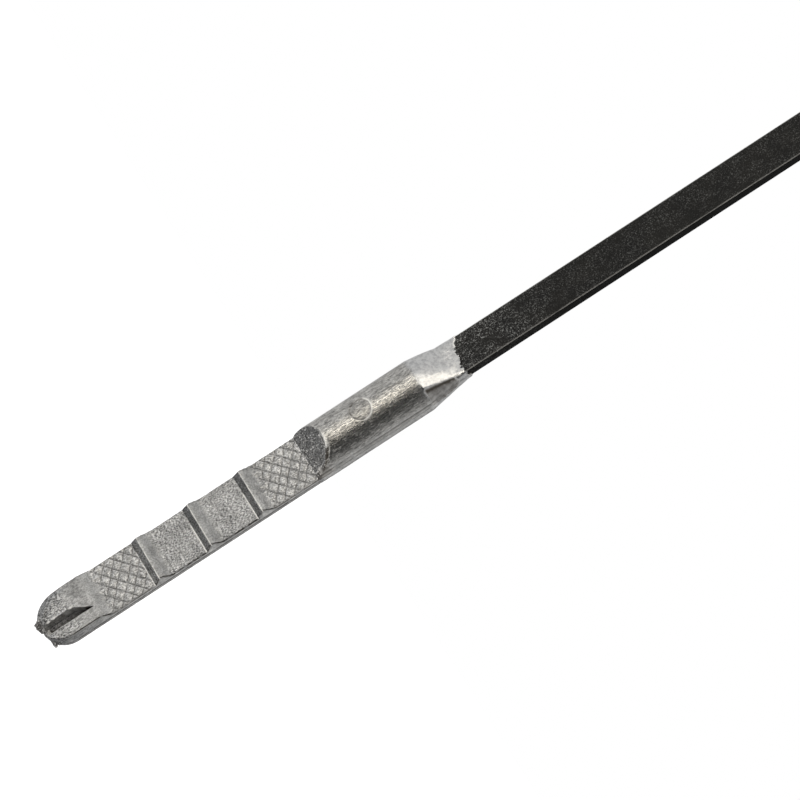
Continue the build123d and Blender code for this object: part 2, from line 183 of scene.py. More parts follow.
# ---- gauge head -----------------------------------------------------------------
# Head coordinates: x across, out from the gauge plane towards -Y, station up from
# the head's lower end. All in millimetres.
HEAD_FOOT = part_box("gauge_tip")[0].z / MM
HALF_WIDTH = 4.45
BACK = 2.0
STEP = 1.15              # height of the plateau and the ridges
DRAFT = 0.22             # lean of the side faces over one STEP
BARREL = 4.5             # radius of the barrel
NOSE = 0.6               # station of the nose
PLATEAU = (10.5, 12.1)   # the plateau falls to the gauge plane between these
CRESTS = (21.8, 31.8, 41.8)
RISE = 1.2               # length of a ridge's steep lower face
FALL = 1.8               # length of its gentle upper face
SHOULDER = 52.4
SIDE_CREASE = 0.3        # the shoulder's crease ends this far up the side faces
ROWS_LEVEL = 61.0        # rows of points are square to the barrel from here
BARREL_TOP = 74.4
TAPER_TOP = 80.0
COLLAR_HALF = 3.66
COLLAR_HEIGHT = 1.50
ROUND_EDGE = 0.16        # edge rounding of the gauge faces
SHARP_EDGE = 0.03        # and where the barrel's arc meets the side faces
SEAM_OUT = -0.33         # the parting line runs along both sides here
HATCH_BANDS = ((12.25, 20.5), (43.7, 52.2))
HATCH_ALONG = 1.97
HATCH_ACROSS = 2.42
GROOVE_HALF_WIDTH = 0.085
GROOVE_DEPTH = 0.15
PAD_RISE = 0.10
MARK_STATION = 64.2      # ejector-pin print on the barrel
MARK_RADIUS = 1.76
BLADE_HALF = 3.3
BLADE_FRONT = 1.2
FLAT_START = 1.30        # a flat that catches the light runs along the taper
FLAT_END = 2.75
FLAT_TILT = 0.28
SIDE_POINTS = 38
FRONT_POINTS = 112
BACK_POINTS = 30
EVEN = np.linspace(-1, 1, FRONT_POINTS)
CROWDED = np.sin(EVEN * math.pi / 2)      # points gather at the sides

# Outline of the flash on the blade's front: (x, station) of its ragged upper edge.
FLASH_EDGE = [
    (-3.3, 83.8), (-2.6, 83.4), (-2.1, 82.9), (-1.5, 82.6), (-0.8, 82.8), (-0.62, 82.35),
    (0.1, 82.4), (0.5, 82.5), (1.05, 82.15), (1.75, 81.9), (2.15, 81.65), (2.6, 81.9),
    (3.0, 82.0), (3.3, 82.15),
]
# Blind slot in the nose: (x, station) of its outline, and its lowest and highest out.
SLOT_OUTLINE = [
    (0.1, -0.6), (0.08, 3.0), (0.05, 6.9), (0.25, 7.35), (0.95, 8.45), (1.9, 10.35),
    (1.98, 10.4), (1.97, 7.0), (1.98, 3.5), (2.0, -0.6),
]
SLOT_OUT = (-1.15, 1.9)
# Torn burrs on the left rim of the slot, and their size.
BURRS = [(0.0, 1.12, 6.9), (-0.05, 1.04, 3.6), (0.0, 1.02, 2.6)]
BURR_SIZE = (0.20, 0.15, 0.36)
# Lumps of flash at the nose: name, centre, size and noise seed.
LUMPS = [
    ("gate_lump", (-0.75, -0.35, 1.05), (1.15, 0.95, 0.95), 1.0),
    ("gate_lump_low", (0.6, -1.2, 1.35), (1.2, 0.5, 0.6), 4.0),
    ("flash_nub", (3.35, -0.9, 2.25), (0.36, 0.34, 0.36), 9.0),
    ("flash_web", (2.3, -1.0, 1.55), (1.4, 0.18, 0.45), 6.0),
]
BURR_SEED = 12.0
CREASE_ANGLE = math.radians(42)     # edges sharper than this stay sharp


def to_row(x, out, station):
    """Head coordinates in millimetres to the row frame in metres."""
    return np.stack([x * MM, -out * MM, (station + HEAD_FOOT) * MM], axis=-1)


def barrel_arc(x):
    """How far the barrel stands out at x."""
    return np.sqrt(np.maximum(BARREL ** 2 - x ** 2, 0.0))


def step_height(station):
    """Plateau and ridges above the gauge plane, before any surface texture."""
    s = np.asarray(station, float)
    height = STEP * (1 - smoother(PLATEAU[0] - 0.6, PLATEAU[1] + 0.9, s))
    for crest in CRESTS:
        rise = np.clip((s - (crest - RISE)) / RISE, 0, 1)
        fall = 1 - smoother(crest - 0.2, crest + FALL + 0.8, s)
        height = np.maximum(height, STEP * np.where(s <= crest, rise, fall))
    return height


def hatch(x, s):
    """Hatched bands, their grooves and the domes of their pads, each from 0 to 1."""
    pitch = 1 / math.sqrt(1 / HATCH_ALONG ** 2 + 1 / HATCH_ACROSS ** 2)
    wobble = 0.05 * np.sin(s * 1.7 + x * 0.9) + 0.04 * np.sin(x * 2.3 - s * 0.8)
    groove = np.zeros_like(s)
    dome = np.ones_like(s)
    for sign in (-1, 1):
        phase = (s + wobble) / HATCH_ALONG + sign * (x + wobble) / HATCH_ACROSS
        distance = np.abs(phase - np.round(phase)) * pitch
        groove = np.maximum(groove, bell(distance, GROOVE_HALF_WIDTH))
        dome = np.minimum(dome, smooth(0.0, 0.42 * pitch, distance))
    band = np.zeros_like(s)
    ragged = 0.35 * np.sin(x * 4.7 + 1.0) + 0.25 * np.sin(x * 2.1)
    for low, high in HATCH_BANDS:
        band += smooth(low - 0.2, low + 0.9, s + ragged) * (1 - smooth(high - 0.15, high + 0.1, s))
    return band, groove, dome


def nose_roll_off(x, s):
    """How far the plateau's edge sinks round the battered left side of the nose."""
    centre = NOSE + HALF_WIDTH
    edge_distance = HALF_WIDTH - np.where(s < centre, np.hypot(x, s - centre), np.abs(x))
    left = np.clip(0.55 - x / HALF_WIDTH, 0, 1)
    fade = 1 - smooth(3.0, 8.0, s)
    return 0.6 * left * fade * (1 - smooth(0.0, 1.4, edge_distance))


def row_plan():
    """Rows of the head as (kind, value) pairs, from the nose to the blade."""
    rows = []
    for angle in np.linspace(5.0, 90.0, 44):
        rows.append(("plain", NOSE + HALF_WIDTH * (1 - math.cos(math.radians(angle)))))

    def span(start, end, pitch, kind="plain"):
        count = max(1, round((end - start) / pitch))
        for i in range(1, count + 1):
            rows.append((kind, start + (end - start) * i / count))

    fine, middling, wide = 0.04, 0.1, 0.12
    hatched = 0.085
    span(NOSE + HALF_WIDTH, PLATEAU[0], wide)
    span(PLATEAU[0], PLATEAU[1], middling)
    start = PLATEAU[1]
    for crest in CRESTS:
        foot = crest - RISE
        span(start, foot - 0.2, hatched if start < HATCH_BANDS[0][1] else wide)
        span(foot - 0.2, foot, fine)
        span(foot, crest - 0.24, middling)
        span(crest - 0.24, crest + 0.12, fine)
        span(crest + 0.12, crest + FALL, middling)
        start = crest + FALL
    span(start, SHOULDER, hatched)
    span(0.0, 1.0, 1 / 34, "shoulder")
    span(0.0, 1.0, 1 / 20, "behind_shoulder")
    span(ROWS_LEVEL, BARREL_TOP, 0.16)
    span(BARREL_TOP, TAPER_TOP, 0.14, "taper")
    span(0.0, 1.0, 1 / 14, "flash")
    return rows


def flash_edge(x, out):
    """Station of the ragged edge round the blade, for points of the collar."""
    front = np.interp(x, [p[0] for p in FLASH_EDGE], [p[1] for p in FLASH_EDGE])
    points = np.stack([x, out, np.zeros_like(x)], axis=-1)
    rough = 0.30 * fractal(points, 0.42, 5, 3.1)
    rough = rough + 0.16 * np.clip(np.sin(x * 7.3 + 1.5 * np.sin(x * 3.1)), -0.3, 1)
    back = 82.3 + 0.5 * np.sin(x * 1.9 + 1.0)
    return np.where(out > 0, front, back) + rough


def flash_station(x, out, share):
    """Station of points that lie the given share of the way up the flash."""
    return TAPER_TOP + share * (flash_edge(x, out) - TAPER_TOP)


def side_path(half, top=0.0, lean=0.0, edge=SHARP_EDGE, seam=0.05):
    """Right side of a section from the back corner up to the front edge."""
    pinch = min(1.0, half / 1.5)    # keeps the corners inside a narrow section
    lean, edge = lean * pinch, edge * pinch
    points = [
        (half - 0.20 * pinch, -BACK), (half - 0.06 * pinch, -BACK + 0.03),
        (half - 0.01 * pinch, -BACK + 0.12), (half, -BACK + 0.25), (half, -BACK + 0.45),
        (half, -1.28), (half, -1.05), (half, -0.82), (half, -0.60), (half, -0.44),
        (half + seam, SEAM_OUT), (half, -0.22),
        (half - lean * max(top - edge, 0) / STEP, top - edge),
        (half - lean * top / STEP - 0.3 * edge, top - 0.28 * edge),
        (half - lean * top / STEP - edge, top),
    ]
    points = np.array(points)
    lengths = np.r_[0, np.cumsum(np.hypot(*np.diff(points, axis=0).T))]
    wanted = np.interp(np.linspace(0, 1, SIDE_POINTS), np.linspace(0, 1, len(points)), lengths)
    return np.interp(wanted, lengths, points[:, 0]), np.interp(wanted, lengths, points[:, 1])


def arch(half, height, power):
    """Superellipse arch in evenly spaced points: power 2 is round, a large one is boxy."""
    angle = np.linspace(-math.pi / 2, math.pi / 2, 1501)
    x = half * np.sign(angle) * np.abs(np.sin(angle)) ** (2 / power)
    out = height * np.abs(np.cos(angle)) ** (2 / power)
    length = np.r_[0, np.cumsum(np.hypot(np.diff(x), np.diff(out)))]
    wanted = np.linspace(0, length[-1], FRONT_POINTS)
    return np.interp(wanted, length, x), np.interp(wanted, length, out)


def taper_arch(t):
    """The arch at t, from 0 on the barrel to 1 on the collar."""
    half = BARREL + (COLLAR_HALF - BARREL) * t
    height = BARREL + (COLLAR_HEIGHT - BARREL) * t
    return arch(half, height, 2.0 + 1.8 * t ** 1.4)


# Each section function gives the right side's x and out, the front's x and out, and
# the stations of side and front.
def gauge_section(station):
    half = HALF_WIDTH
    if station < NOSE + HALF_WIDTH:
        half = math.sqrt(max(HALF_WIDTH ** 2 - (HALF_WIDTH - (station - NOSE)) ** 2, 0.01))
    top = float(step_height(station))
    side = side_path(half, top, DRAFT, ROUND_EDGE)
    return *side, side[0][-1] * EVEN, np.full(FRONT_POINTS, top), station, station


def shoulder_section(share):
    """From the gauge plane at share 0, up the 45 degree face to its crease at 1."""
    side = side_path(BARREL, edge=ROUND_EDGE if share < 0.02 else SHARP_EDGE)
    mix = smooth(0.0, 0.5, share)
    front_x = side[0][-1] * ((1 - mix) * EVEN + mix * CROWDED)
    arc = barrel_arc(front_x)
    side_s = SHOULDER + share * SIDE_CREASE
    return *side, front_x, share * arc, side_s, SHOULDER + share * np.maximum(arc, SIDE_CREASE)


def barrel_section(station):
    side = side_path(BARREL)
    front_x = side[0][-1] * CROWDED
    return *side, front_x, barrel_arc(front_x), station, station


def behind_shoulder_section(share):
    """From the crease at share 0 to the first level row at 1."""
    *outline, arc, _, _ = barrel_section(0.0)
    low = SHOULDER + SIDE_CREASE
    crease = SHOULDER + np.maximum(arc, SIDE_CREASE)
    side_s = low + share * (ROWS_LEVEL - low)
    return *outline, arc, side_s, crease + share * (ROWS_LEVEL - crease)


def taper_section(station):
    """The crease at the barrel's end is sharp on the right and fades out to the left."""
    t = (station - BARREL_TOP) / (TAPER_TOP - BARREL_TOP)
    sharp_x, sharp_out = taper_arch(t)
    soft_x, soft_out = taper_arch(t * t / (t + 0.10) * 1.10)
    fade = smooth(-0.15, 0.35, EVEN)
    front_x = sharp_x * fade + soft_x * (1 - fade)
    front_out = sharp_out * fade + soft_out * (1 - fade)
    flat = np.interp(FLAT_START, front_x, front_out) - FLAT_TILT * (front_x - FLAT_START)
    part = window(front_x, FLAT_START - 0.2, FLAT_START + 0.1, FLAT_END, FLAT_END + 0.4)
    part = part * window(t, 0.0, 0.06, 0.65, 1.0)
    front_out = front_out + (flat - front_out) * part
    side_x, side_out = side_path(BARREL + (COLLAR_HALF - BARREL) * t)
    side_out = np.where(side_out < 0, side_out * (1 - 0.20 * t), side_out)
    return side_x, side_out, front_x, front_out, station, station


def flash_section(share):
    """From the collar at share 0 to the ragged edge on the blade at 1."""
    half = COLLAR_HALF + (BLADE_HALF + 0.12 - COLLAR_HALF) * min(share * 1.3, 1)
    height = COLLAR_HEIGHT + (BLADE_FRONT + 0.14 - COLLAR_HEIGHT) * min(share * 1.6, 1)
    front_x, front_out = arch(half, height, 3.8 + 6.0 * share)
    side_x, side_out = side_path(half)
    side_out = np.where(side_out < 0, side_out * (0.80 - 0.12 * share), side_out)
    side_s = flash_station(side_x, side_out + 0.3, share)
    return side_x, side_out, front_x, front_out, side_s, flash_station(front_x, front_out, share)


SECTIONS = {
    "shoulder": shoulder_section, "behind_shoulder": behind_shoulder_section,
    "taper": taper_section, "flash": flash_section,
}


def build_section(kind, value):
    """One ring of points: left side up, front across, right side down, back across."""
    plain = gauge_section if value <= SHOULDER + 0.01 else barrel_section
    side_x, side_out, front_x, front_out, side_s, front_s = SECTIONS.get(kind, plain)(value)
    side_s = np.zeros(SIDE_POINTS) + side_s
    front_s = np.zeros(FRONT_POINTS) + front_s
    back_x = side_x[0] * np.linspace(1, -1, BACK_POINTS + 2)[1:-1]
    back_out = np.full(BACK_POINTS, side_out[0])
    left_s, back_s = side_s, np.full(BACK_POINTS, side_s[0])
    if kind == "flash":
        left_s = flash_station(-side_x, side_out + 0.3, value)
        back_s = flash_station(back_x, back_out, value)
    x = np.r_[-side_x, front_x[1:-1], side_x[::-1], back_x]
    out = np.r_[side_out, front_out[1:-1], side_out[::-1], back_out]
    s = np.r_[left_s, front_s[1:-1], side_s[::-1], back_s]
    return x, out, s


def ejector_mark(x, out, s):
    """Flat round print of the ejector pin on the crest of the barrel, with a thin rim."""
    distance = np.hypot(x, s - MARK_STATION)
    ring = bell(distance - MARK_RADIUS, 0.10)
    upper_right = np.clip((0.5 * x + (s - MARK_STATION)) / MARK_RADIUS, -1, 1)
    press = 0.05 + 0.05 * np.clip(upper_right, 0, 1)
    press = press * (1 - smooth(MARK_RADIUS - 0.12, MARK_RADIUS, distance))
    swirl = 0.03 * bell(distance - 0.62 * MARK_RADIUS, 0.13)
    swirl = swirl * smooth(-0.2, 0.4, np.sin(s * 2.1 + x))
    rim = 0.11 * np.clip(upper_right, 0, 1) * bell(distance - MARK_RADIUS - 0.16, 0.10)
    return np.where(out > 2.0, out - press - 0.06 * ring + swirl + rim, out)


def closed_rings(rings, step_downs):
    """Vertices and faces of stacked rings, closed after smaller copies of the last ring.

    Each of step_downs is (shrink, rise): the copy's scale about Z and its height in mm.
    """
    ring = rings.shape[1]
    levels = list(rings)
    for shrink, rise in step_downs:
        levels.append(rings[-1] * (shrink, shrink, 1) + (0, 0, rise * MM))
    verts = np.concatenate(levels)
    faces = []
    for i in range(len(levels) - 1):
        a, b = i * ring, (i + 1) * ring
        for j in range(ring):
            k = (j + 1) % ring
            faces.append((a + j, a + k, b + k, b + j))
    faces.append(tuple(range(ring))[::-1])
    faces.append(tuple(range(len(verts) - ring, len(verts))))
    return verts, faces


def build_head():
    """The die-cast gauge head as one closed mesh."""
    rows = row_plan()
    sections = np.array([build_section(kind, value) for kind, value in rows])
    x, out, s = sections[:, 0], sections[:, 1], sections[:, 2]
    front = np.zeros(x.shape[1], bool)
    front[SIDE_POINTS - 1:SIDE_POINTS + FRONT_POINTS - 1] = True
    on_front = front[None, :]
    gauge = np.outer(s[:, 0] < SHOULDER + 0.05, front)

    points = np.stack([x, out, s], axis=-1).reshape(-1, 3)
    coarse = fractal(points, 0.55, 3).reshape(x.shape)
    fine = fractal(points * (1, 1, 0.6), 0.24, 2, 7.3).reshape(x.shape)
    wave = fractal(points, 5.0, 2, 1.7).reshape(x.shape)

    # Relief of the front: hatching, cast grain, sharp crests and the ejector mark.
    band, groove, dome = hatch(x, s)
    relief = np.where(gauge, band * (PAD_RISE * dome - GROOVE_DEPTH * groove), 0.0)
    level = step_height(s)
    on_field = gauge & (level < 0.02)
    on_top = gauge & (level > STEP - 0.02)
    grain = np.where(on_field, 0.012 * coarse + 0.020 * fine, 0.007 * fine)
    grain = np.where(on_top, 0.010 * coarse + 0.014 * fine, grain)
    grain = grain + np.where(gauge, band * 0.014 * fine, 0.0)
    not_shoulder = np.array([kind != "shoulder" for kind, _ in rows])
    barrel = np.outer(not_shoulder & (s[:, 0] > SHOULDER + 0.1), front)
    grain = np.where(barrel, 0.004 * coarse + 0.003 * fine, grain)
    for crest in CRESTS:
        grain = grain + np.where(gauge, 0.035 * bell(s - crest, 0.09), 0.0)
    out = ejector_mark(x, out, s)
    out = out + np.where(on_front, relief + grain + 0.02 * wave, 0.0)
    dents = fractal(points, 1.3, 2, 5.1).reshape(x.shape)
    on_nose = (s < 12) & (out > 0.2)
    sink = nose_roll_off(x, s) + 0.05 * dents * (s < 5)
    out = out - np.where(on_nose, sink * out / STEP, 0.0)

    side = np.broadcast_to(~front, x.shape) & (np.abs(x) > 2.5)
    x = x + np.where(side, np.sign(x) * (0.010 * coarse + 0.02 * wave), 0.0)
    # Burrs along the long edges, heaviest where the steps end.
    heavy = (s > PLATEAU[0] - 0.5) & (s < PLATEAU[1] + 0.3)
    for crest in CRESTS:
        heavy |= (s > crest) & (s < crest + FALL + 0.6)
    at_edge = (s < SHOULDER) & (np.abs(x) > HALF_WIDTH - 0.5) & (out > level - 0.25)
    burr = np.where(heavy, 0.14, 0.035) * np.clip(fine + 0.5 * coarse, -0.4, 1)
    x = x + np.where(at_edge, np.sign(x) * burr * 0.6, 0.0)
    out = out + np.where(at_edge & on_front, burr * 0.5, 0.0)
    # A torn fin stands on the parting line beside the taper.
    fin_zone = window(s, 74.9, 76.4, 79.2, 80.6)
    on_seam = bell(out - SEAM_OUT, 0.12) * (x > 3)
    x = x + 0.32 * fin_zone * on_seam * np.clip(0.7 + 0.6 * coarse, 0, 1)
    # A bright lip hangs over the dark shoulder face.
    to_crease = SHOULDER + barrel_arc(x) - s
    lip = bell(to_crease, 0.20) * window(x, -1.4, 0.2, 1.8, 2.4)
    on_shoulder = on_front & (s > SHOULDER + 0.5) & (s < SHOULDER + BARREL + 0.5)
    lip = np.where(on_shoulder, lip * (0.15 + 0.08 * fine), 0.0)
    out, s = out + lip, s - 0.8 * lip
    face = on_shoulder & (to_crease > 0.15)
    s = s + np.where(face, 0.02 * coarse + 0.015 * fine, 0.0)

    # The rings step down onto the blade behind the ragged edge and close inside it.
    verts, faces = closed_rings(to_row(x, out, s), ((0.955, 0.02), (0.6, -0.3)))
    head = mesh_object("gauge_head", verts, faces)
    outward(head)
    return head


def slot_cutter():
    """Rough-walled prism in the shape of the blind nose slot."""
    dense = []
    for (xa, sa), (xb, sb) in zip(SLOT_OUTLINE, SLOT_OUTLINE[1:] + SLOT_OUTLINE[:1]):
        count = max(1, round(math.hypot(xb - xa, sb - sa) / 0.22))
        dense += [(xa + (xb - xa) * i / count, sa + (sb - sa) * i / count) for i in range(count)]
    levels = []
    for out in np.linspace(*SLOT_OUT, 15):
        level = []
        for x, s in dense:
            p = Vector((x, out, s))
            shift = noise.noise_vector(p * 1.9) * 0.05 + noise.noise_vector(p * 5.0) * 0.02
            spread = 0.02 * (out - SLOT_OUT[0])
            sign = 1 if x > 1.0 else -1
            level.append(to_row(x + shift.x + sign * spread, out, s + shift.z))
        levels.append(level)
    cutter = mesh_object("slot_cutter", *closed_rings(np.array(levels), ()))
    outward(cutter)
    return cutter


def rough_lump(name, centre, size, seed, roughness=0.28):
    """Torn lump of cast metal: a ball pushed about by noise. Head coordinates."""
    bm = bmesh.new()
    bmesh.ops.create_icosphere(bm, subdivisions=4, radius=1.0)
    for v in bm.verts:
        direction = v.co.normalized()
        wobble = noise.fractal(direction * 1.6 + Vector((seed, 0, 0)), 0.8, 2.0, 4)
        radius = 1 + roughness * wobble
        p = direction * Vector(size) * radius
        v.co = Vector(to_row(centre[0] + p.x, centre[1] + p.y, centre[2] + p.z))
    mesh = bpy.data.meshes.new(name)
    bm.to_mesh(mesh)
    bm.free()
    lump = link(bpy.data.objects.new(name, mesh))
    outward(lump)
    return lump


def gauge_shade(s, patchy, band, groove):
    """Painted shade on the gauge face: in the hatching's grooves, and round the ridges and the
    plateau's end.
    """
    dirt_and_shade = band * groove ** 1.6 * np.clip(0.78 + 0.6 * patchy, 0.2, 1.0)
    for crest in CRESTS:
        foot = crest - RISE
        under = bell(s - crest + 0.15, 0.07) * worn(0.7, 0.8, patchy)
        steep = window(s, foot, foot + 0.1, crest - 0.12, crest - 0.02)
        behind = smooth(crest + 0.1, crest + 0.5, s)
        behind = behind * (1 - smooth(crest + 1.6, crest + 2.6, s + 0.5 * patchy))
        dirt_and_shade = np.maximum.reduce([
            dirt_and_shade, 0.3 * bell(s - foot - 0.05, 0.08), 0.8 * under,
            (0.05 + 0.10 * patchy) * steep, (0.11 + 0.05 * patchy) * behind,
        ])
    start, end = PLATEAU
    ramp = smooth(start - 1.2, start, s) * (1 - smooth(end, end + 0.8, s + 0.5 * patchy))
    return np.maximum(dirt_and_shade, (0.05 + 0.04 * patchy) * ramp)


def side_lines(out, s, level, patchy):
    """Dark lines on the side faces: painted shadow under the top edge, a line half-way down and
    painted shade along the back edge.
    """
    ends = np.zeros(len(s))
    for end in (PLATEAU[1],) + tuple(crest + 0.9 for crest in CRESTS):
        ends = np.maximum(ends, bell(s - end + 0.2, 0.8))
    top = np.clip(1.15 + 1.3 * patchy + 0.8 * ends, 0.25, 1.25) * bell(out - level + 0.20, 0.25)
    middle = bell(out + 1.12, 0.21) * worn(1.1, 1.0, patchy)
    foot = bell(out + BACK - 0.06, 0.32) * worn(1.15, 0.6, patchy)
    return np.clip(np.maximum.reduce([top, middle, foot]), 0, 1)


def barrel_lines(out, patchy):
    """The barrel's parting line, a dark line above it and painted shade along the back edge below
    it, all broken.
    """
    seam = bell(out - 0.62, 0.12) * worn(1.2, 1.2, patchy, 1.2)
    low_seam = bell(out + 0.40, 0.13) * worn(0.7, 1.5, patchy, 1.2)
    foot = bell(out + BACK - 0.06, 0.30) * worn(1.15, 0.6, patchy)
    return np.clip(np.maximum.reduce([seam, low_seam, foot]), 0, 1)


def shoulder_shade(x, out, s, to_crease, patchy):
    """Painted shade: dark lines on both sides of the shoulder's crease, and a dark patch in its
    right corner.
    """
    near = (out > 0.3) & (s > SHOULDER)
    undercut = np.clip(1.8 * bell(to_crease, 0.36), 0, 1) * smooth(2.0, 2.4, x)
    undercut = undercut * (s > SHOULDER + 0.3) * (out > 0)
    inner = bell(to_crease - 0.45, 0.22) * smooth(-1.0, 0.2, x) * near
    outer = bell(to_crease + 0.42, 0.14) * smooth(0.6, 1.6, x) * near
    corner = smooth(3.0, 3.7, x) * (s > SHOULDER - 0.1) * (out > -0.5)
    corner = corner * (1 - smooth(2.2, 3.4, s - SHOULDER + 1.5 * patchy))
    return np.maximum.reduce([undercut, inner, 0.7 * outer, 0.9 * corner])


def crease_light(x, to_crease, patchy):
    """Painted highlight along the shoulder's crease."""
    line = np.clip(1.8 * bell(to_crease - 0.01, 0.15), 0, 1) * (1 - smooth(2.0, 2.4, x))
    line = line * (0.3 * smooth(-3.2, -2.2, x) + 0.7 * smooth(-0.6, 0.2, x))
    return line * worn(1.0, 0.5, patchy)


def paint_finish(head):
    """Stores what the metal's material needs.

    Red is dirt and painted shade, green is painted highlights and painted light with some
    bright flecks, blue is the barrel's drawn skin and alpha is calm skin with little grain.
    """
    points = read_points(head) / MM * (1, -1, 1) - (0, 0, HEAD_FOOT)
    x, out, s = points.T
    patchy = fractal(points, 0.9, 3, 11.0)
    speckle = fractal(points, 0.24, 2, 13.0)
    level = step_height(s)
    band, groove, _ = hatch(x, s)
    to_crease = SHOULDER + barrel_arc(x) - s
    mark = np.hypot(x, s - MARK_STATION)
    on_face = (s < SHOULDER + 0.1) & (out > -0.25) & (out > level - 0.35)
    on_side = (np.abs(x) > HALF_WIDTH - 0.45) & (s > 1.0) & (s < SHOULDER) & (out > -BACK - 0.1)
    on_shoulder = (out > 0.05) & (s > SHOULDER) & (to_crease > 0.1)
    on_crest = out > 2.0
    in_slot = (x > -0.05) & (x < 2.12) & (s > 1.3) & (s < 10.6) & (out > -1.3) & (out < 0.95)
    lower = (x > 3.0) & (s > SHOULDER + 0.5) & (s < BARREL_TOP + 1)

    # Painted shade in the hatching's grooves, round the ridges and on the plateau's ramp.
    dirt_and_shade = np.where(on_face, gauge_shade(s, patchy, band, groove), 0.0)
    battered = (1 - smooth(3.0, 5.0, s)) * smooth(0.6, -1.2, x) * smooth(0.0, 0.45, patchy)
    dirt_and_shade = raised(dirt_and_shade, on_face, 0.45 * battered)
    # Painted shadow under the side faces' top edges, a dark line half-way down and painted shade
    # along the back edge.
    side_dark_lines = side_lines(out, s, level, patchy)
    dirt_and_shade = raised(dirt_and_shade, on_side & (out < level - 0.04), side_dark_lines)
    # The slot is painted with shade: a brown wall that goes black towards its pointed end, and a
    # dark floor.
    wall_shade = 0.22 + 0.60 * smooth(3.5, 8.5, s) + 0.10 * patchy
    floor = 0.68 + 0.32 * smooth(0.40, 0.75, x)
    dirt_and_shade = np.where(in_slot, np.where((out < -0.9) | (x > 1.2), floor, wall_shade), dirt_and_shade)
    dirt_and_shade = np.where(on_shoulder, 0.14 + 0.10 * patchy, dirt_and_shade)
    gate = bell(x + 0.3, 2.2) * (1 - smooth(1.2, 2.6, s + 0.6 * patchy))
    dirt_and_shade = raised(dirt_and_shade, ~in_slot, 0.9 * gate)
    # Painted shade round the shoulder's crease and in its right corner.
    dirt_and_shade = np.maximum(dirt_and_shade, shoulder_shade(x, out, s, to_crease, patchy))
    ring = bell(mark - MARK_RADIUS, 0.13) * worn(0.95, 0.6, patchy)
    inside = (0.10 + 0.5 * smooth(0.05, 0.4, speckle)) * (mark < MARK_RADIUS)
    dirt_and_shade = raised(dirt_and_shade, on_crest, np.maximum(ring, inside))
    # Dark lines on the lower barrel; the one along the back edge is painted shade.
    seam = barrel_lines(out, patchy)
    dirt_and_shade = raised(dirt_and_shade, lower, seam)
    # Painted shade on the right side of the taper, darkest under the flat's edge.
    turn = smooth(2.6, 3.2, x) * smooth(BARREL_TOP, BARREL_TOP + 0.4, s)
    turn = turn * (1 - smooth(79.5, 81.5, s + 0.8 * patchy))
    shadow = (0.76 + 0.12 * patchy + 0.3 * bell(x - 3.15, 0.35)) * turn
    dirt_and_shade = raised(dirt_and_shade, out > -0.3, shadow)

    # Painted highlight along the shoulder's crease.
    painted_light_and_flecks = np.where((out > 1.0) & (s > SHOULDER + 2), crease_light(x, to_crease, patchy), 0.0)
    # Painted highlights along the crests and at the feet of the ridges.
    for crest in CRESTS:
        edge = bell(s - crest - 0.03, 0.07) * worn(0.85, 0.7, patchy)
        painted_light_and_flecks = raised(painted_light_and_flecks, out > STEP * 0.7, edge)
        edge = bell(s - crest + RISE + 0.08, 0.09) * smooth(-3.5, 1.5, x + 2.5 * patchy)
        painted_light_and_flecks = raised(painted_light_and_flecks, on_face & (out < 0.2), 0.95 * edge)
    flecks = smooth(0.42, 0.60, speckle) * np.where(on_shoulder | (gate > 0.25), 0.8, 0.0)
    painted_light_and_flecks = np.maximum(painted_light_and_flecks, flecks)
    # Painted light on the middle of the side faces.
    side_painted_light = (0.26 * smooth(4.0, 14.0, s) + 0.3 * patchy) * (1 - side_dark_lines) ** 2
    painted_light_and_flecks = raised(painted_light_and_flecks, on_side & (out < level - 0.3) & (out > -BACK + 0.3), side_painted_light)
    # Painted highlight on the upper right of the ejector print's rim.
    upper_right = np.clip((0.5 * x + (s - MARK_STATION)) / MARK_RADIUS, 0, 1)
    crescent = smooth(0.15, 0.6, upper_right) * bell(mark - MARK_RADIUS - 0.20, 0.13)
    painted_light_and_flecks = raised(painted_light_and_flecks, on_crest, 0.9 * crescent)
    # Painted highlight: a broad bright patch on the taper's flat.
    wide = window(x, 1.0, 1.5, 2.45, 2.85) * worn(0.45, 0.9, speckle)
    wide = wide * window(s, BARREL_TOP + 0.1, BARREL_TOP + 0.6, 80.2, 82.0)
    painted_light_and_flecks = raised(painted_light_and_flecks, out > 0, wide)
    # Painted highlights on the burrs at the slot's rim.
    for centre in BURRS:
        reach = np.linalg.norm((points - np.array(centre)) * (1, 1, 0.5), axis=1)
        painted_light_and_flecks = np.maximum(painted_light_and_flecks, smooth(0.30, 0.10, reach) * worn(0.9, 1.0, speckle, 0.95))
    # Painted highlight along the slot's left rim.
    slot_rim = bell(x - 0.02, 0.20) * smooth(0.05, 0.35, patchy + 0.8 * bell(s - 7.0, 0.6))
    slot_rim = 0.5 * slot_rim * window(s, 1.8, 2.4, 7.5, 8.0)
    painted_light_and_flecks = raised(painted_light_and_flecks, out > STEP * 0.8, slot_rim)
    # Painted light on the slot's wall near the nose.
    wall_painted_light = (0.24 + 0.12 * patchy) * (1 - smooth(4.5, 9.0, s)) * (out > -0.9)
    painted_light_and_flecks = np.where(in_slot, wall_painted_light, painted_light_and_flecks)
    # Painted highlights: hatch pads lighter, most at their rims beside the grooves.
    pads = band * (0.22 + 0.16 * speckle + 0.40 * smooth(0.12, 0.5, groove)) * (1 - groove)
    painted_light_and_flecks = raised(painted_light_and_flecks, on_face, pads)
    # Painted light on the barrel's lower flank, broken by the dark lines.
    low_zone = np.where(lower & (out > -BACK + 0.2), smooth(1.6, 0.8, out), 0.0)
    painted_light_and_flecks = np.maximum(painted_light_and_flecks, (0.24 + 0.2 * patchy) * low_zone * (1 - seam) ** 2)

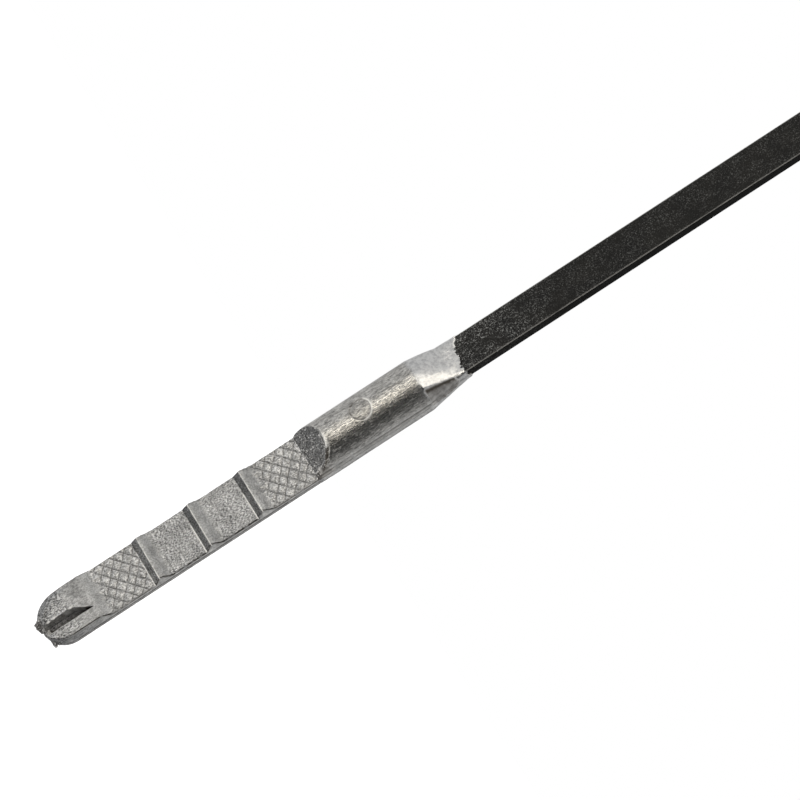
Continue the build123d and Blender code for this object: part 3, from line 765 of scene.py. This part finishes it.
    drawn = (s > SHOULDER) & ~on_shoulder & (out > -0.2)
    drawn = np.where(drawn, 1 - smooth(BARREL_TOP, BARREL_TOP + 0.1, s), 0.0)
    drawn = drawn * (1 - 0.75 * low_zone)
    calm = smooth(5.0, 8.0, s + 1.5 * patchy)
    calm = calm * (1 - smooth(PLATEAU[1], PLATEAU[1] + 0.8, s + 0.4 * patchy))
    for crest in CRESTS:
        behind = 1 - smooth(crest + 1.7, crest + 2.7, s + 0.5 * patchy)
        calm = np.maximum(calm, smooth(crest, crest + 0.15, s) * behind)
    calm = np.where(on_side & (out < level - 0.1), 0.9, calm)
    calm = np.maximum(calm, 0.9 * low_zone)
    store_finish(head, dirt_and_shade, painted_light_and_flecks, drawn, calm)


def make_gauge_head():
    head = build_head()
    boolean(head, slot_cutter(), "DIFFERENCE")
    burrs = [(f"slot_burr_{i}", centre, BURR_SIZE, BURR_SEED + i) for i, centre in enumerate(BURRS)]
    for name, centre, size, seed in LUMPS + burrs:
        boolean(head, rough_lump(name, centre, size, seed), "UNION")
    shade_smooth(head)
    head.data.set_sharp_from_angle(angle=CREASE_ANGLE)
    paint_finish(head)
    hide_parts("gauge_tip")
    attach(head, "rod")
    return head


# ---- cap, seal and lever ------------------------------------------------------------
SPIN_STEPS = 480
SPIN_CREASE_ANGLE = math.radians(50)
FLUTES = 24
WEBS = 12
FLUTE_RADIUS = 16.0
FLUTE_HALF = 0.80
FLUTE_DEPTH = 0.62
POCKET_DEPTH = 0.9
PARTING_Z = 3.4          # the cap's parting line, half-way up the flange
# Corners of the cap's section: (r, z, rounding).
CAP_CORNERS = [
    (3.08, -4.0, 0.25), (10.6, -4.0, 0.7), (10.6, 0.0, 0.15), (10.2, 0.05, 0.0),
    (10.2, 1.5, 0.0), (16.0, 1.5, 0.9), (16.0, 5.5, 1.1), (9.5, 5.5, 0.6), (9.5, 11.0, 0.5),
    (4.85, 11.0, 0.15), (4.85, 8.7, 0.0), (3.08, 8.7, 0.15),
]
SEAL_INNER = 3.3
SEAL_OUTER = 10.5
SEAL_GROOVES = (-9.2, -13.2, -17.2)
PIVOT_Z = 19.1
LOOP_Z = 44.1
LOOP_RADIUS = 13.0
PRINT_RADIUS = 9.2       # ejector prints sit at this radius round the loop's centre
RIB_PITCH = 1.5
LEVER_VOXEL = 0.2
LEVER_SOFTENING = 10     # smoothing passes over the remeshed lever


def rounded_path(corners, pitch):
    """Closed path through (r, z, rounding) corners, rounded at them, as two arrays."""
    points = []
    count = len(corners)
    for i, (r, z, rounding) in enumerate(corners):
        here = Vector((r, z))
        before = (Vector(corners[i - 1][:2]) - here).normalized()
        after = (Vector(corners[(i + 1) % count][:2]) - here).normalized()
        for f in np.linspace(0, 1, 7) if rounding else (0.0,):
            points.append(here + (before * (1 - f) ** 2 + after * f ** 2) * rounding)
    path = []
    for a, b in zip(points, points[1:] + points[:1]):
        cuts = max(1, round((b - a).length / pitch))
        path += [a + (b - a) * k / cuts for k in range(cuts)]
    return np.array([p.x for p in path]), np.array([p.y for p in path])


def spin(name, corners, shape, pitch):
    """Ring-shaped closed piece: the path is turned about Z, and shape(r, z, angle) moulds it."""
    path_r, path_z = rounded_path(corners, pitch)
    angle = np.arange(SPIN_STEPS) * math.tau / SPIN_STEPS
    r, turn = np.meshgrid(path_r, angle)
    z = np.meshgrid(path_z, angle)[0]
    r, z = shape(r, z, turn)
    verts = np.stack([r * np.cos(turn), r * np.sin(turn), z], axis=-1).reshape(-1, 3) * MM
    n = len(path_r)
    faces = []
    for i in range(SPIN_STEPS):
        here, there = i * n, (i + 1) % SPIN_STEPS * n
        for j in range(n):
            k = (j + 1) % n
            faces.append((here + j, here + k, there + k, there + j))
    piece = mesh_object(name, verts, faces)
    outward(piece)
    piece.data.set_sharp_from_angle(angle=SPIN_CREASE_ANGLE)
    return piece


def mould_cap(r, z, angle):
    """Grip flutes round the flange, webbed pockets in its top and a fine parting line."""
    on_rim = smooth(14.6, 15.6, r)
    offset = (angle * FLUTES / math.tau + 0.5) % 1 - 0.5
    across = offset * math.tau / FLUTES * FLUTE_RADIUS
    flute = FLUTE_DEPTH * np.sqrt(np.clip(1 - (across / FLUTE_HALF) ** 2, 0, 1)) ** 1.3
    r = r - on_rim * flute
    on_top = (z > 5.0) & (z < 5.7)
    web = np.abs((angle * WEBS / math.tau) % 1 - 0.5) * math.tau / WEBS * r
    pocket = window(r, 10.6, 11.0, 13.9, 14.3) * smooth(0.55, 0.85, web)
    z = z - np.where(on_top, POCKET_DEPTH * pocket, 0.0)
    parting = bell(z - PARTING_Z, 0.16) * on_rim
    r = r - 0.07 * (1 - parting) * on_rim
    ledge = 0.18 * bell(z - 8.3, 0.22) * ((r > 9.0) & (r < 10.0))
    return r - ledge, z


def make_cap():
    cap = spin("cap_shell", CAP_CORNERS, mould_cap, 0.22)
    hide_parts("cap_body")
    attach(cap, "cap")
    return cap


def mould_seal(r, z, angle):
    """Three shallow grip grooves, a slight waist and moulding unevenness."""
    outer = smooth(8.5, 10.0, r)
    for middle in SEAL_GROOVES:
        r = r - 0.45 * outer * bell(z - middle, 0.42)
    r = r - outer * (0.05 + 0.04 * np.sin(3 * angle + 0.6 * z) + 0.02 * np.sin(11 * angle))
    flash = 0.05 * bell(np.abs(angle - math.pi) - math.pi / 2, 0.012)
    return r + outer * flash, z


def make_seal():
    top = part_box("expansion_seal")[1].z / MM
    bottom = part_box("expansion_seal")[0].z / MM
    corners = [
        (SEAL_INNER, bottom, 0.2), (SEAL_OUTER, bottom, 0.9),
        (SEAL_OUTER, top, 0.9), (SEAL_INNER, top, 0.2),
    ]
    seal = spin("seal_sleeve", corners, mould_seal, 0.25)
    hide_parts("expansion_seal")
    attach(seal, "cap")
    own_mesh(seal)
    return seal


def remeshed_copy(name, node, voxel, passes):
    """Copy of a CAD node as an even mesh with softened edges. Sizes in millimetres."""
    mesh = NODES[node].data.copy()
    mesh.transform(Matrix.Scale(1 / MM, 4))
    bm = bmesh.new()
    bm.from_mesh(mesh)
    bmesh.ops.remove_doubles(bm, verts=bm.verts, dist=0.001)
    bm.to_mesh(mesh)
    bm.free()
    piece = link(bpy.data.objects.new(name, mesh))
    remesh = piece.modifiers.new("even", "REMESH")
    remesh.mode = "VOXEL"
    remesh.voxel_size = voxel
    soften = piece.modifiers.new("soften", "SMOOTH")
    soften.factor = 0.5
    soften.iterations = passes
    bpy.context.view_layer.update()
    apply_modifiers(piece)
    piece.data.materials.clear()
    return piece


def make_lever():
    """The moulded lever: a ribbed finger loop with recessed faces, on two cam cheeks."""
    lever = remeshed_copy("lever_moulding", "cam_lever", LEVER_VOXEL, LEVER_SOFTENING)
    x, y, z = read_points(lever).T
    radius = np.hypot(x, z - LOOP_Z)
    around = np.arctan2(x, z - LOOP_Z)
    on_loop_face = np.abs(y) > 2.9
    pocket = window(radius, 9.8, 10.15, 11.5, 11.85) * smooth(2.3, 2.22, np.abs(around))
    pocket = pocket * on_loop_face
    panel = smooth(2.9, 2.6, np.abs(x)) * window(z, 27.2, 27.5, 32.9, 33.2) * (np.abs(y) > 2.4)
    pin_distance = np.hypot(y, z - PIVOT_Z)
    ring = bell(pin_distance - 4.5, 0.28) * (np.abs(x) > 8.0)
    prints = np.zeros(len(x))
    for turn in (-1.9, -0.9, 0.9, 1.9):
        spot_x, spot_z = PRINT_RADIUS * math.sin(turn), LOOP_Z + PRINT_RADIUS * math.cos(turn)
        spot = np.hypot(x - spot_x, z - spot_z)
        prints = np.maximum(prints, smooth(0.62, 0.52, spot) * (y > 2.9))
    ribs = smooth(0.15, 0.75, np.cos(around * LOOP_RADIUS * math.tau / RIB_PITCH))
    ribs = ribs * smooth(0.95, 0.88, np.abs(around)) * smooth(12.1, 12.7, radius)
    parting = bell(y, 0.2) * smooth(12.4, 12.8, radius) * (np.abs(around) > 0.95)
    y = y - np.sign(y) * (0.55 * pocket + 0.4 * panel + 0.12 * prints)
    x = x - np.sign(x) * 0.25 * ring
    inward = (0.38 * ribs + 0.08 * parting) / np.maximum(radius, 1)
    z = z - (z - LOOP_Z) * inward
    x = x - x * inward
    lever.data.vertices.foreach_set("co", np.stack([x, y, z], axis=-1).ravel())
    lever.data.transform(Matrix.Scale(MM, 4))
    shade_smooth(lever)
    # Darker in the pockets, on the panel and its rim, round the pin's ring, in the ribbing and
    # along the parting line.
    panel_rim = panel * np.clip(1.1 - 4 * np.abs(panel - 0.5) ** 2, 0, 1)
    recess_dark = np.maximum.reduce([
        0.18 * pocket, 0.10 * panel, 0.35 * panel_rim, 0.7 * ring, 0.55 * ribs, 0.4 * parting,
    ])
    none = np.zeros(len(x))
    store_finish(lever, recess_dark, none, none, none + 1)
    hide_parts("cam_lever")
    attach(lever, "lever")
    return lever


# ---- materials --------------------------------------------------------------------
def grey(value):
    return (value, value, value)


class Nodes:
    """Small builder for a node tree. Values are sockets to link, numbers or colours."""

    def __init__(self, tree):
        self.tree = tree

    def feed(self, socket, value):
        if isinstance(value, bpy.types.NodeSocket):
            self.tree.links.new(value, socket)
        elif isinstance(value, tuple) and len(value) < len(socket.default_value):
            socket.default_value = (*value, 1.0)
        else:
            socket.default_value = value

    def node(self, kind, output, inputs, **settings):
        """Adds a node with its settings and inputs, and gives one of its outputs."""
        node = self.tree.nodes.new(kind)
        for key, value in settings.items():
            setattr(node, key, value)
        for key, value in inputs.items():
            self.feed(node.inputs[key], value)
        return node.outputs[output]

    def math(self, operation, a, b):
        return self.node("ShaderNodeMath", 0, {0: a, 1: b}, operation=operation)

    def times(self, a, b):
        return self.math("MULTIPLY", a, b)

    def higher(self, a, b):
        return self.math("MAXIMUM", a, b)

    def step(self, value, low, high, out_low=0.0, out_high=1.0):
        """Soft step from out_low to out_high as value goes from low to high."""
        inputs = {
            "Value": value, "From Min": low, "From Max": high,
            "To Min": out_low, "To Max": out_high,
        }
        return self.node("ShaderNodeMapRange", "Result", inputs, interpolation_type="SMOOTHSTEP")

    def split(self, vector):
        return self.node("ShaderNodeSeparateXYZ", 0, {0: vector}).node.outputs


class Shader(Nodes):
    """A material on the Principled shader, in object coordinates."""

    def __init__(self, name):
        self.material = bpy.data.materials.new(name)
        self.material.use_nodes = True
        super().__init__(self.material.node_tree)
        self.bsdf = self.tree.nodes["Principled BSDF"]
        self.place = self.node("ShaderNodeTexCoord", "Object", {})
        self.even = self.stretch(1, 1, 1)

    def stretch(self, x, y, z):
        """Object coordinates in millimetres, scaled by axis."""
        inputs = {"Vector": self.place, "Scale": (x / MM, y / MM, z / MM)}
        return self.node("ShaderNodeMapping", "Vector", inputs)

    def noise(self, vector, scale, detail=3.0, rough=0.55):
        inputs = {"Vector": vector, "Scale": scale, "Detail": detail, "Roughness": rough}
        return self.node("ShaderNodeTexNoise", "Fac", inputs)

    def cells(self, vector, scale):
        return self.node("ShaderNodeTexVoronoi", "Distance", {"Vector": vector, "Scale": scale})

    def ramp(self, value, *stops):
        """Colour ramp; each stop is (position, grey or colour)."""
        colour_out = self.node("ShaderNodeValToRGB", "Color", {"Fac": value})
        elements = colour_out.node.color_ramp.elements
        while len(elements) < len(stops):
            elements.new(0.5)
        for element, (position, colour) in zip(elements, stops):
            element.position = position
            element.color = (*(colour if isinstance(colour, tuple) else grey(colour)), 1.0)
        return colour_out

    def mix(self, factor, a, b, blend="MIX"):
        inputs = {0: factor, 6: a, 7: b}
        return self.node("ShaderNodeMix", 2, inputs, data_type="RGBA", blend_type=blend)

    def bump(self, height, strength, distance_mm, normal=None):
        inputs = {"Height": height, "Strength": strength, "Distance": distance_mm * MM}
        if normal is not None:
            inputs["Normal"] = normal
        return self.node("ShaderNodeBump", "Normal", inputs)

    def masks(self):
        """Red, green, blue and alpha of the colour attribute that store_finish writes."""
        colour = self.node("ShaderNodeVertexColor", "Color", {}, layer_name="finish")
        red = self.node("ShaderNodeSeparateColor", 0, {"Color": colour})
        return [*red.node.outputs[:3], colour.node.outputs["Alpha"]]

    def set(self, **values):
        for name, value in values.items():
            self.feed(self.bsdf.inputs[name.replace("_", " ")], value)


def cast_alloy():
    """As-cast light alloy: sandy grain on the flats, drawn streaks on the barrel, a clean taper."""
    m = Shader("cast_alloy_mat")
    dirt_and_shade, painted_light_and_flecks, barrel, calm = m.masks()
    sand = m.noise(m.stretch(1.3, 1.3, 0.6), 4.4, 2.0, 0.7)
    clumps = m.noise(m.even, 1.5, 3.0, 0.6)
    mottle = m.noise(m.even, 0.35, 3.0, 0.6)
    streak = m.noise(m.stretch(5.0, 5.0, 1.1), 1.0, 3.0, 0.7)
    pits = m.cells(m.even, 1.7)
    ragged_z = m.math("ADD", m.split(m.even)[2], m.times(mottle, 3.0))
    taper_start = HEAD_FOOT + BARREL_TOP
    taper = m.step(ragged_z, taper_start + 0.7, taper_start + 2.3)
    polish = m.higher(barrel, taper)

    flats = m.ramp(sand, (0.40, 0.11), (0.50, 0.58), (0.59, 1.0))
    flats = m.mix(0.14, flats, m.ramp(clumps, (0.38, 0.36), (0.62, 0.90)))
    flats = m.mix(m.times(calm, 0.6), flats, (0.60, 0.60, 0.59))
    drawn = m.ramp(
        streak, (0.38, (0.24, 0.23, 0.22)), (0.5, (0.72, 0.70, 0.66)), (0.62, (1.0, 0.98, 0.93)))
    tone = m.mix(barrel, flats, m.mix(0.22, drawn, flats))
    tone = m.mix(0.6, tone, m.ramp(mottle, (0.36, 0.52), (0.58, 1.0)), "MULTIPLY")
    tone = m.mix(m.ramp(pits, (0.05, 0.55), (0.13, 0.0)), tone, (0.20, 0.195, 0.19))
    clean = m.ramp(clumps, (0.38, 0.64), (0.58, (0.88, 0.88, 0.87)))
    tone = m.mix(taper, tone, clean)
    # The red mask darkens the tone: dirt and painted shade.
    tone = m.mix(dirt_and_shade, tone, m.mix(1.0, tone, (0.07, 0.062, 0.054), "MULTIPLY"))
    # Painted glints on the barrel, and the green mask's painted highlights and painted light, turn
    # the tone pale.
    glint = m.noise(m.stretch(5.5, 5.5, 1.2), 1.0, 2.0, 0.6)
    glint = m.higher(m.times(m.ramp(glint, (0.59, 0.0), (0.67, 0.36)), barrel), painted_light_and_flecks)
    tone = m.mix(glint, tone, (0.97, 0.95, 0.90))
    diffuse_share = m.higher(m.times(glint, 0.8), m.step(dirt_and_shade, 0.30, 0.50, 0.0, 0.9))
    m.set(Base_Color=tone, Metallic=m.math("SUBTRACT", 1.0, diffuse_share))

    drawn_rough = m.mix(taper, m.ramp(streak, (0.35, 0.38), (0.65, 0.20)), grey(0.31))
    rough = m.mix(polish, m.ramp(sand, (0.38, 0.50), (0.60, 0.32)), drawn_rough)
    m.set(Roughness=m.mix(dirt_and_shade, rough, grey(0.65)))
    m.set(Specular_IOR_Level=m.step(dirt_and_shade, 0.30, 0.65, 0.5, 0.08))
    even_out = m.higher(polish, m.times(calm, 0.6))
    normal = m.bump(sand, m.step(even_out, 0.0, 1.0, 1.0, 0.30), 0.09)
    normal = m.bump(clumps, m.step(even_out, 0.0, 1.0, 0.8, 0.22), 0.09, normal)
    m.set(Normal=m.bump(streak, m.times(barrel, 0.68), 0.075, normal))
    return m.material


BLADE_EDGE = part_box("blade")[1].x / MM
BLADE_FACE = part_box("blade")[1].y / MM


def black_steel():
    """Blackened steel strip: fine light specks, thickest near the casting, a painted highlight
    along the front edges and painted shade on the sides.
    """
    m = Shader("black_steel_mat")
    x, y, z = m.split(m.even)
    specks = m.noise(m.even, 2.4, 4.0, 0.72)
    dust = m.noise(m.even, 5.0, 2.0, 0.6)
    scratch = m.noise(m.stretch(2.2, 2.2, 0.16), 1.0, 4.0, 0.75)
    patch = m.noise(m.stretch(0.55, 0.55, 0.35), 1.0, 4.0, 0.65)
    cloud = m.noise(m.even, 0.22)
    head_top = TAPER_TOP + HEAD_FOOT
    near = m.step(z, head_top + 4, head_top + 24, 1.0, 0.28)
    flecks = m.ramp(m.cells(m.even, 2.3), (0.13, 1.0), (0.25, 0.0))
    flecks = m.higher(flecks, m.ramp(specks, (0.55, 0.0), (0.66, 0.8)))
    flecks = m.higher(flecks, m.ramp(dust, (0.56, 0.0), (0.67, 0.9)))
    flecks = m.higher(flecks, m.ramp(scratch, (0.64, 0.0), (0.72, 0.9)))
    mask = m.times(flecks, m.times(m.ramp(patch, (0.38, 0.22), (0.56, 1.0)), near))
    base = m.ramp(cloud, (0.3, (0.0040, 0.0040, 0.0037)), (0.7, (0.0095, 0.0088, 0.0072)))
    tone = m.mix(mask, base, (0.30, 0.30, 0.29))
    across = m.math("ABSOLUTE", x, 0.0)
    # Painted highlight along the rounded front edges.
    edge_x = m.step(across, BLADE_EDGE - 0.26, BLADE_EDGE - 0.16)
    edge_y = m.step(m.math("ABSOLUTE", y, 0.0), BLADE_FACE - 0.16, BLADE_FACE - 0.08)
    # Painted shade on the strip's sides.
    flank_shade = m.step(across, BLADE_EDGE - 0.10, BLADE_EDGE - 0.03)
    broken = m.noise(m.stretch(1.0, 1.0, 0.5), 1.3, 3.0, 0.7)
    edge = m.times(m.times(edge_x, edge_y), m.ramp(broken, (0.36, 0.25), (0.56, 1.0)))
    tone = m.mix(m.times(flank_shade, 0.8), tone, grey(0.003))
    m.set(Base_Color=m.mix(edge, tone, (0.36, 0.35, 0.33)), Metallic=m.times(edge, 0.8))
    m.set(Roughness=m.ramp(scratch, (0.35, 0.34), (0.65, 0.48)))
    m.set(Specular_IOR_Level=m.step(flank_shade, 0.0, 1.0, 0.20, 0.02))
    m.set(Normal=m.bump(dust, 0.4, 0.02, m.bump(specks, 0.5, 0.03)))
    return m.material


def plated_steel():
    """Zinc-plated steel with turning marks."""
    m = Shader("plated_steel_mat")
    cloud = m.noise(m.even, 0.5, 4.0, 0.6)
    lines = m.noise(m.stretch(0.4, 0.4, 5.0), 2.0, 3.0, 0.7)
    m.set(Base_Color=m.ramp(cloud, (0.3, (0.50, 0.49, 0.45)), (0.7, (0.70, 0.69, 0.65))))
    m.set(Metallic=1.0, Roughness=m.ramp(cloud, (0.3, 0.26), (0.7, 0.42)))
    m.set(Normal=m.bump(lines, 0.1, 0.03))
    return m.material


def moulded_plastic(name, dark, light, rough_low, rough_high):
    """Moulded plastic with a fine spark-eroded grain, scuffs, and blotchy darkening from the red
    channel of the finish attribute.
    """
    m = Shader(name)
    grain = m.noise(m.even, 4.5, 3.0, 0.6)
    cloud = m.noise(m.even, 0.15, 3.0, 0.5)
    blotches = m.ramp(m.noise(m.even, 0.5, 4.0, 0.65), (0.35, 0.15), (0.62, 1.0))
    recess_dark = m.times(m.masks()[0], blotches)
    scuff = m.ramp(m.noise(m.stretch(0.25, 1.6, 0.9), 1.0, 5.0, 0.75), (0.60, 0.0), (0.70, 0.35))
    pale = tuple(0.35 + 0.6 * c for c in light)
    tone = m.mix(scuff, m.ramp(cloud, (0.3, dark), (0.7, light)), pale)
    m.set(Base_Color=m.mix(recess_dark, tone, tuple(0.35 * c for c in dark)))
    rough = m.ramp(grain, (0.3, rough_low), (0.7, rough_high))
    m.set(Roughness=m.mix(scuff, rough, grey(0.7)), Normal=m.bump(grain, 0.22, 0.04))
    return m.material


def rubber():
    """Matt black rubber with a dusty bloom."""
    m = Shader("seal_rubber_mat")
    dust = m.noise(m.even, 0.8, 5.0, 0.65)
    m.set(Base_Color=m.ramp(dust, (0.35, 0.012), (0.75, (0.035, 0.034, 0.033))))
    m.set(Roughness=m.ramp(dust, (0.3, 0.55), (0.7, 0.8)))
    m.set(Normal=m.bump(m.noise(m.even, 6.0, 2.0, 0.5), 0.2, 0.03))
    return m.material


# ---- camera, floor, lights -----------------------------------------------------------
# The camera looks at the gauge face from a little beyond square on: it is tipped
# about the blade by SIDE_TILT towards +X, and along the blade by LENGTH_TILT. ROLL
# lays the blade across the frame.
SIDE_TILT = 0.4394
LENGTH_TILT = 0.0244
SKEW = -0.0148
ROLL = math.radians(32.9)
CAMERA_DISTANCE = 394.6 * MM
AIM_STATION = 70.57
AIM_X = 0.505
SENSOR_WIDTH = 36.0
FOCAL_TO_WIDTH = 3.0
FLOOR_GAP = 0.002
FLOOR_HALF = 4.0
# Light on the object: levels of the surroundings by direction, and one strip light.
DARK = 0.045
LEFT, BEHIND, ABOVE, BELOW = 0.66, 0.50, 0.60, 0.50
STRIP_ANGLE = 0.5        # degrees from the gauge face towards +X
STRIP_DISTANCE = 1.2
STRIP_WIDTH = 0.30
STRIP_ENDS = (-0.5, 2.6)  # along the tool, from the aim point
STRIP_RADIANCE = 2.6
STRIP_COLOUR = (1.0, 0.94, 0.83)


def camera_axes():
    """Right, up and backward axes of the camera in the row frame."""
    tilt = Matrix.Rotation(SIDE_TILT, 3, "X")
    tilt = tilt @ Matrix.Rotation(LENGTH_TILT, 3, "Y") @ Matrix.Rotation(SKEW, 3, "Z")
    along, across, back = (Vector((v[1], -v[2], v[0])) for v in tilt)
    right = math.cos(ROLL) * along + math.sin(ROLL) * across
    up = math.sin(ROLL) * along - math.cos(ROLL) * across
    return right, up, back


def make_camera():
    right, up, back = camera_axes()
    data = bpy.data.cameras.new("camera")
    data.sensor_width = SENSOR_WIDTH
    data.lens = SENSOR_WIDTH * FOCAL_TO_WIDTH
    data.clip_start = 0.01
    data.clip_end = 20.0
    camera = link(bpy.data.objects.new("camera", data))
    aim = Vector((AIM_X * MM, 0.0, (AIM_STATION + HEAD_FOOT) * MM))
    turn = Matrix((right, up, back)).transposed().to_4x4()
    camera.matrix_world = Matrix.Translation(aim + back * CAMERA_DISTANCE) @ turn
    bpy.context.scene.camera = camera


def make_floor():
    """Plain pale floor under the tip."""
    low = CAD_BOX[0].z - FLOOR_GAP
    corners = [(-1, -1), (1, -1), (1, 1), (-1, 1)]
    verts = [(FLOOR_HALF * x, FLOOR_HALF * y, low) for x, y in corners]
    floor = mesh_object("floor", verts, [(0, 1, 2, 3)])
    m = Shader("floor_mat")
    m.set(Base_Color=grey(0.85), Roughness=0.9, Specular_IOR_Level=0.0)
    m.set(Emission_Color=grey(1.0), Emission_Strength=0.85)
    floor.data.materials.append(m.material)
    floor.visible_glossy = False


def make_strip_light():
    """Upright strip of light in front of the tool, facing its axis."""
    low, high = STRIP_ENDS
    data = bpy.data.lights.new("soft_box", "AREA")
    data.shape = "RECTANGLE"
    data.size = STRIP_WIDTH
    data.size_y = high - low
    data.energy = STRIP_RADIANCE * math.pi * STRIP_WIDTH * (high - low)
    data.color = STRIP_COLOUR
    lamp = link(bpy.data.objects.new("soft_box", data))
    angle = math.radians(STRIP_ANGLE)
    direction = Vector((math.sin(angle), -math.cos(angle), 0.0))
    middle = (AIM_STATION + HEAD_FOOT) * MM + (low + high) / 2
    lamp.location = direction * STRIP_DISTANCE + Vector((0, 0, middle))
    lamp.rotation_euler = direction.to_track_quat("Z", "Y").to_euler()


def make_world():
    """Studio surroundings: white to the camera, grey behind, above and to -X, else dark."""
    world = bpy.data.worlds.new("world")
    bpy.context.scene.world = world
    world.use_nodes = True
    world.node_tree.nodes.clear()
    w = Nodes(world.node_tree)
    x, y, z = w.split(w.node("ShaderNodeTexCoord", "Generated", {}))
    left = w.step(x, 0.17, -0.14, DARK, LEFT)
    behind = w.step(y, -0.05, 0.38, DARK, BEHIND)
    above = w.step(z, 0.15, 0.45, DARK, ABOVE)
    below = w.step(z, -0.25, -0.7, 1.0, BELOW)
    level = w.times(w.higher(w.higher(left, behind), above), below)
    seen = w.node("ShaderNodeBackground", 0, {"Color": grey(1.0), "Strength": 1.0})
    lighting = w.node("ShaderNodeBackground", 0, {"Strength": level})
    by_camera = w.node("ShaderNodeLightPath", "Is Camera Ray", {})
    surface = w.node("ShaderNodeMixShader", 0, {0: by_camera, 1: lighting, 2: seen})
    w.feed(w.tree.nodes.new("ShaderNodeOutputWorld").inputs[0], surface)


# ---- the object -----------------------------------------------------------------------
def dress_cad_nodes():
    """Gives every carried-over CAD node the material of its slot."""
    cap_colours = (0.012, 0.012, 0.013), (0.022, 0.022, 0.023)
    lever_colours = (0.80, 0.42, 0.01), (0.88, 0.50, 0.02)
    finishes = {
        "black_steel": black_steel(),
        "plated_steel": plated_steel(),
        "cap_plastic": moulded_plastic("cap_plastic_mat", *cap_colours, 0.42, 0.58),
        "lever_plastic": moulded_plastic("lever_plastic_mat", *lever_colours, 0.34, 0.48),
        "seal_rubber": rubber(),
        "cast_alloy": cast_alloy(),
    }
    for row in frame["record"]["subparts"]:
        node = NODES[row["node"]]
        node.data.materials.clear()
        node.data.materials.append(finishes[row["material_slot"]])
    return finishes


def main():
    bpy.context.scene.view_settings.view_transform = "Standard"
    finishes = dress_cad_nodes()
    head = make_gauge_head()
    head.data.materials.clear()
    head.data.materials.append(finishes["cast_alloy"])
    make_cap().data.materials.append(finishes["cap_plastic"])
    make_seal().data.materials.append(finishes["seal_rubber"])
    make_lever().data.materials.append(finishes["lever_plastic"])
    make_camera()
    make_floor()
    make_world()
    make_strip_light()


main()
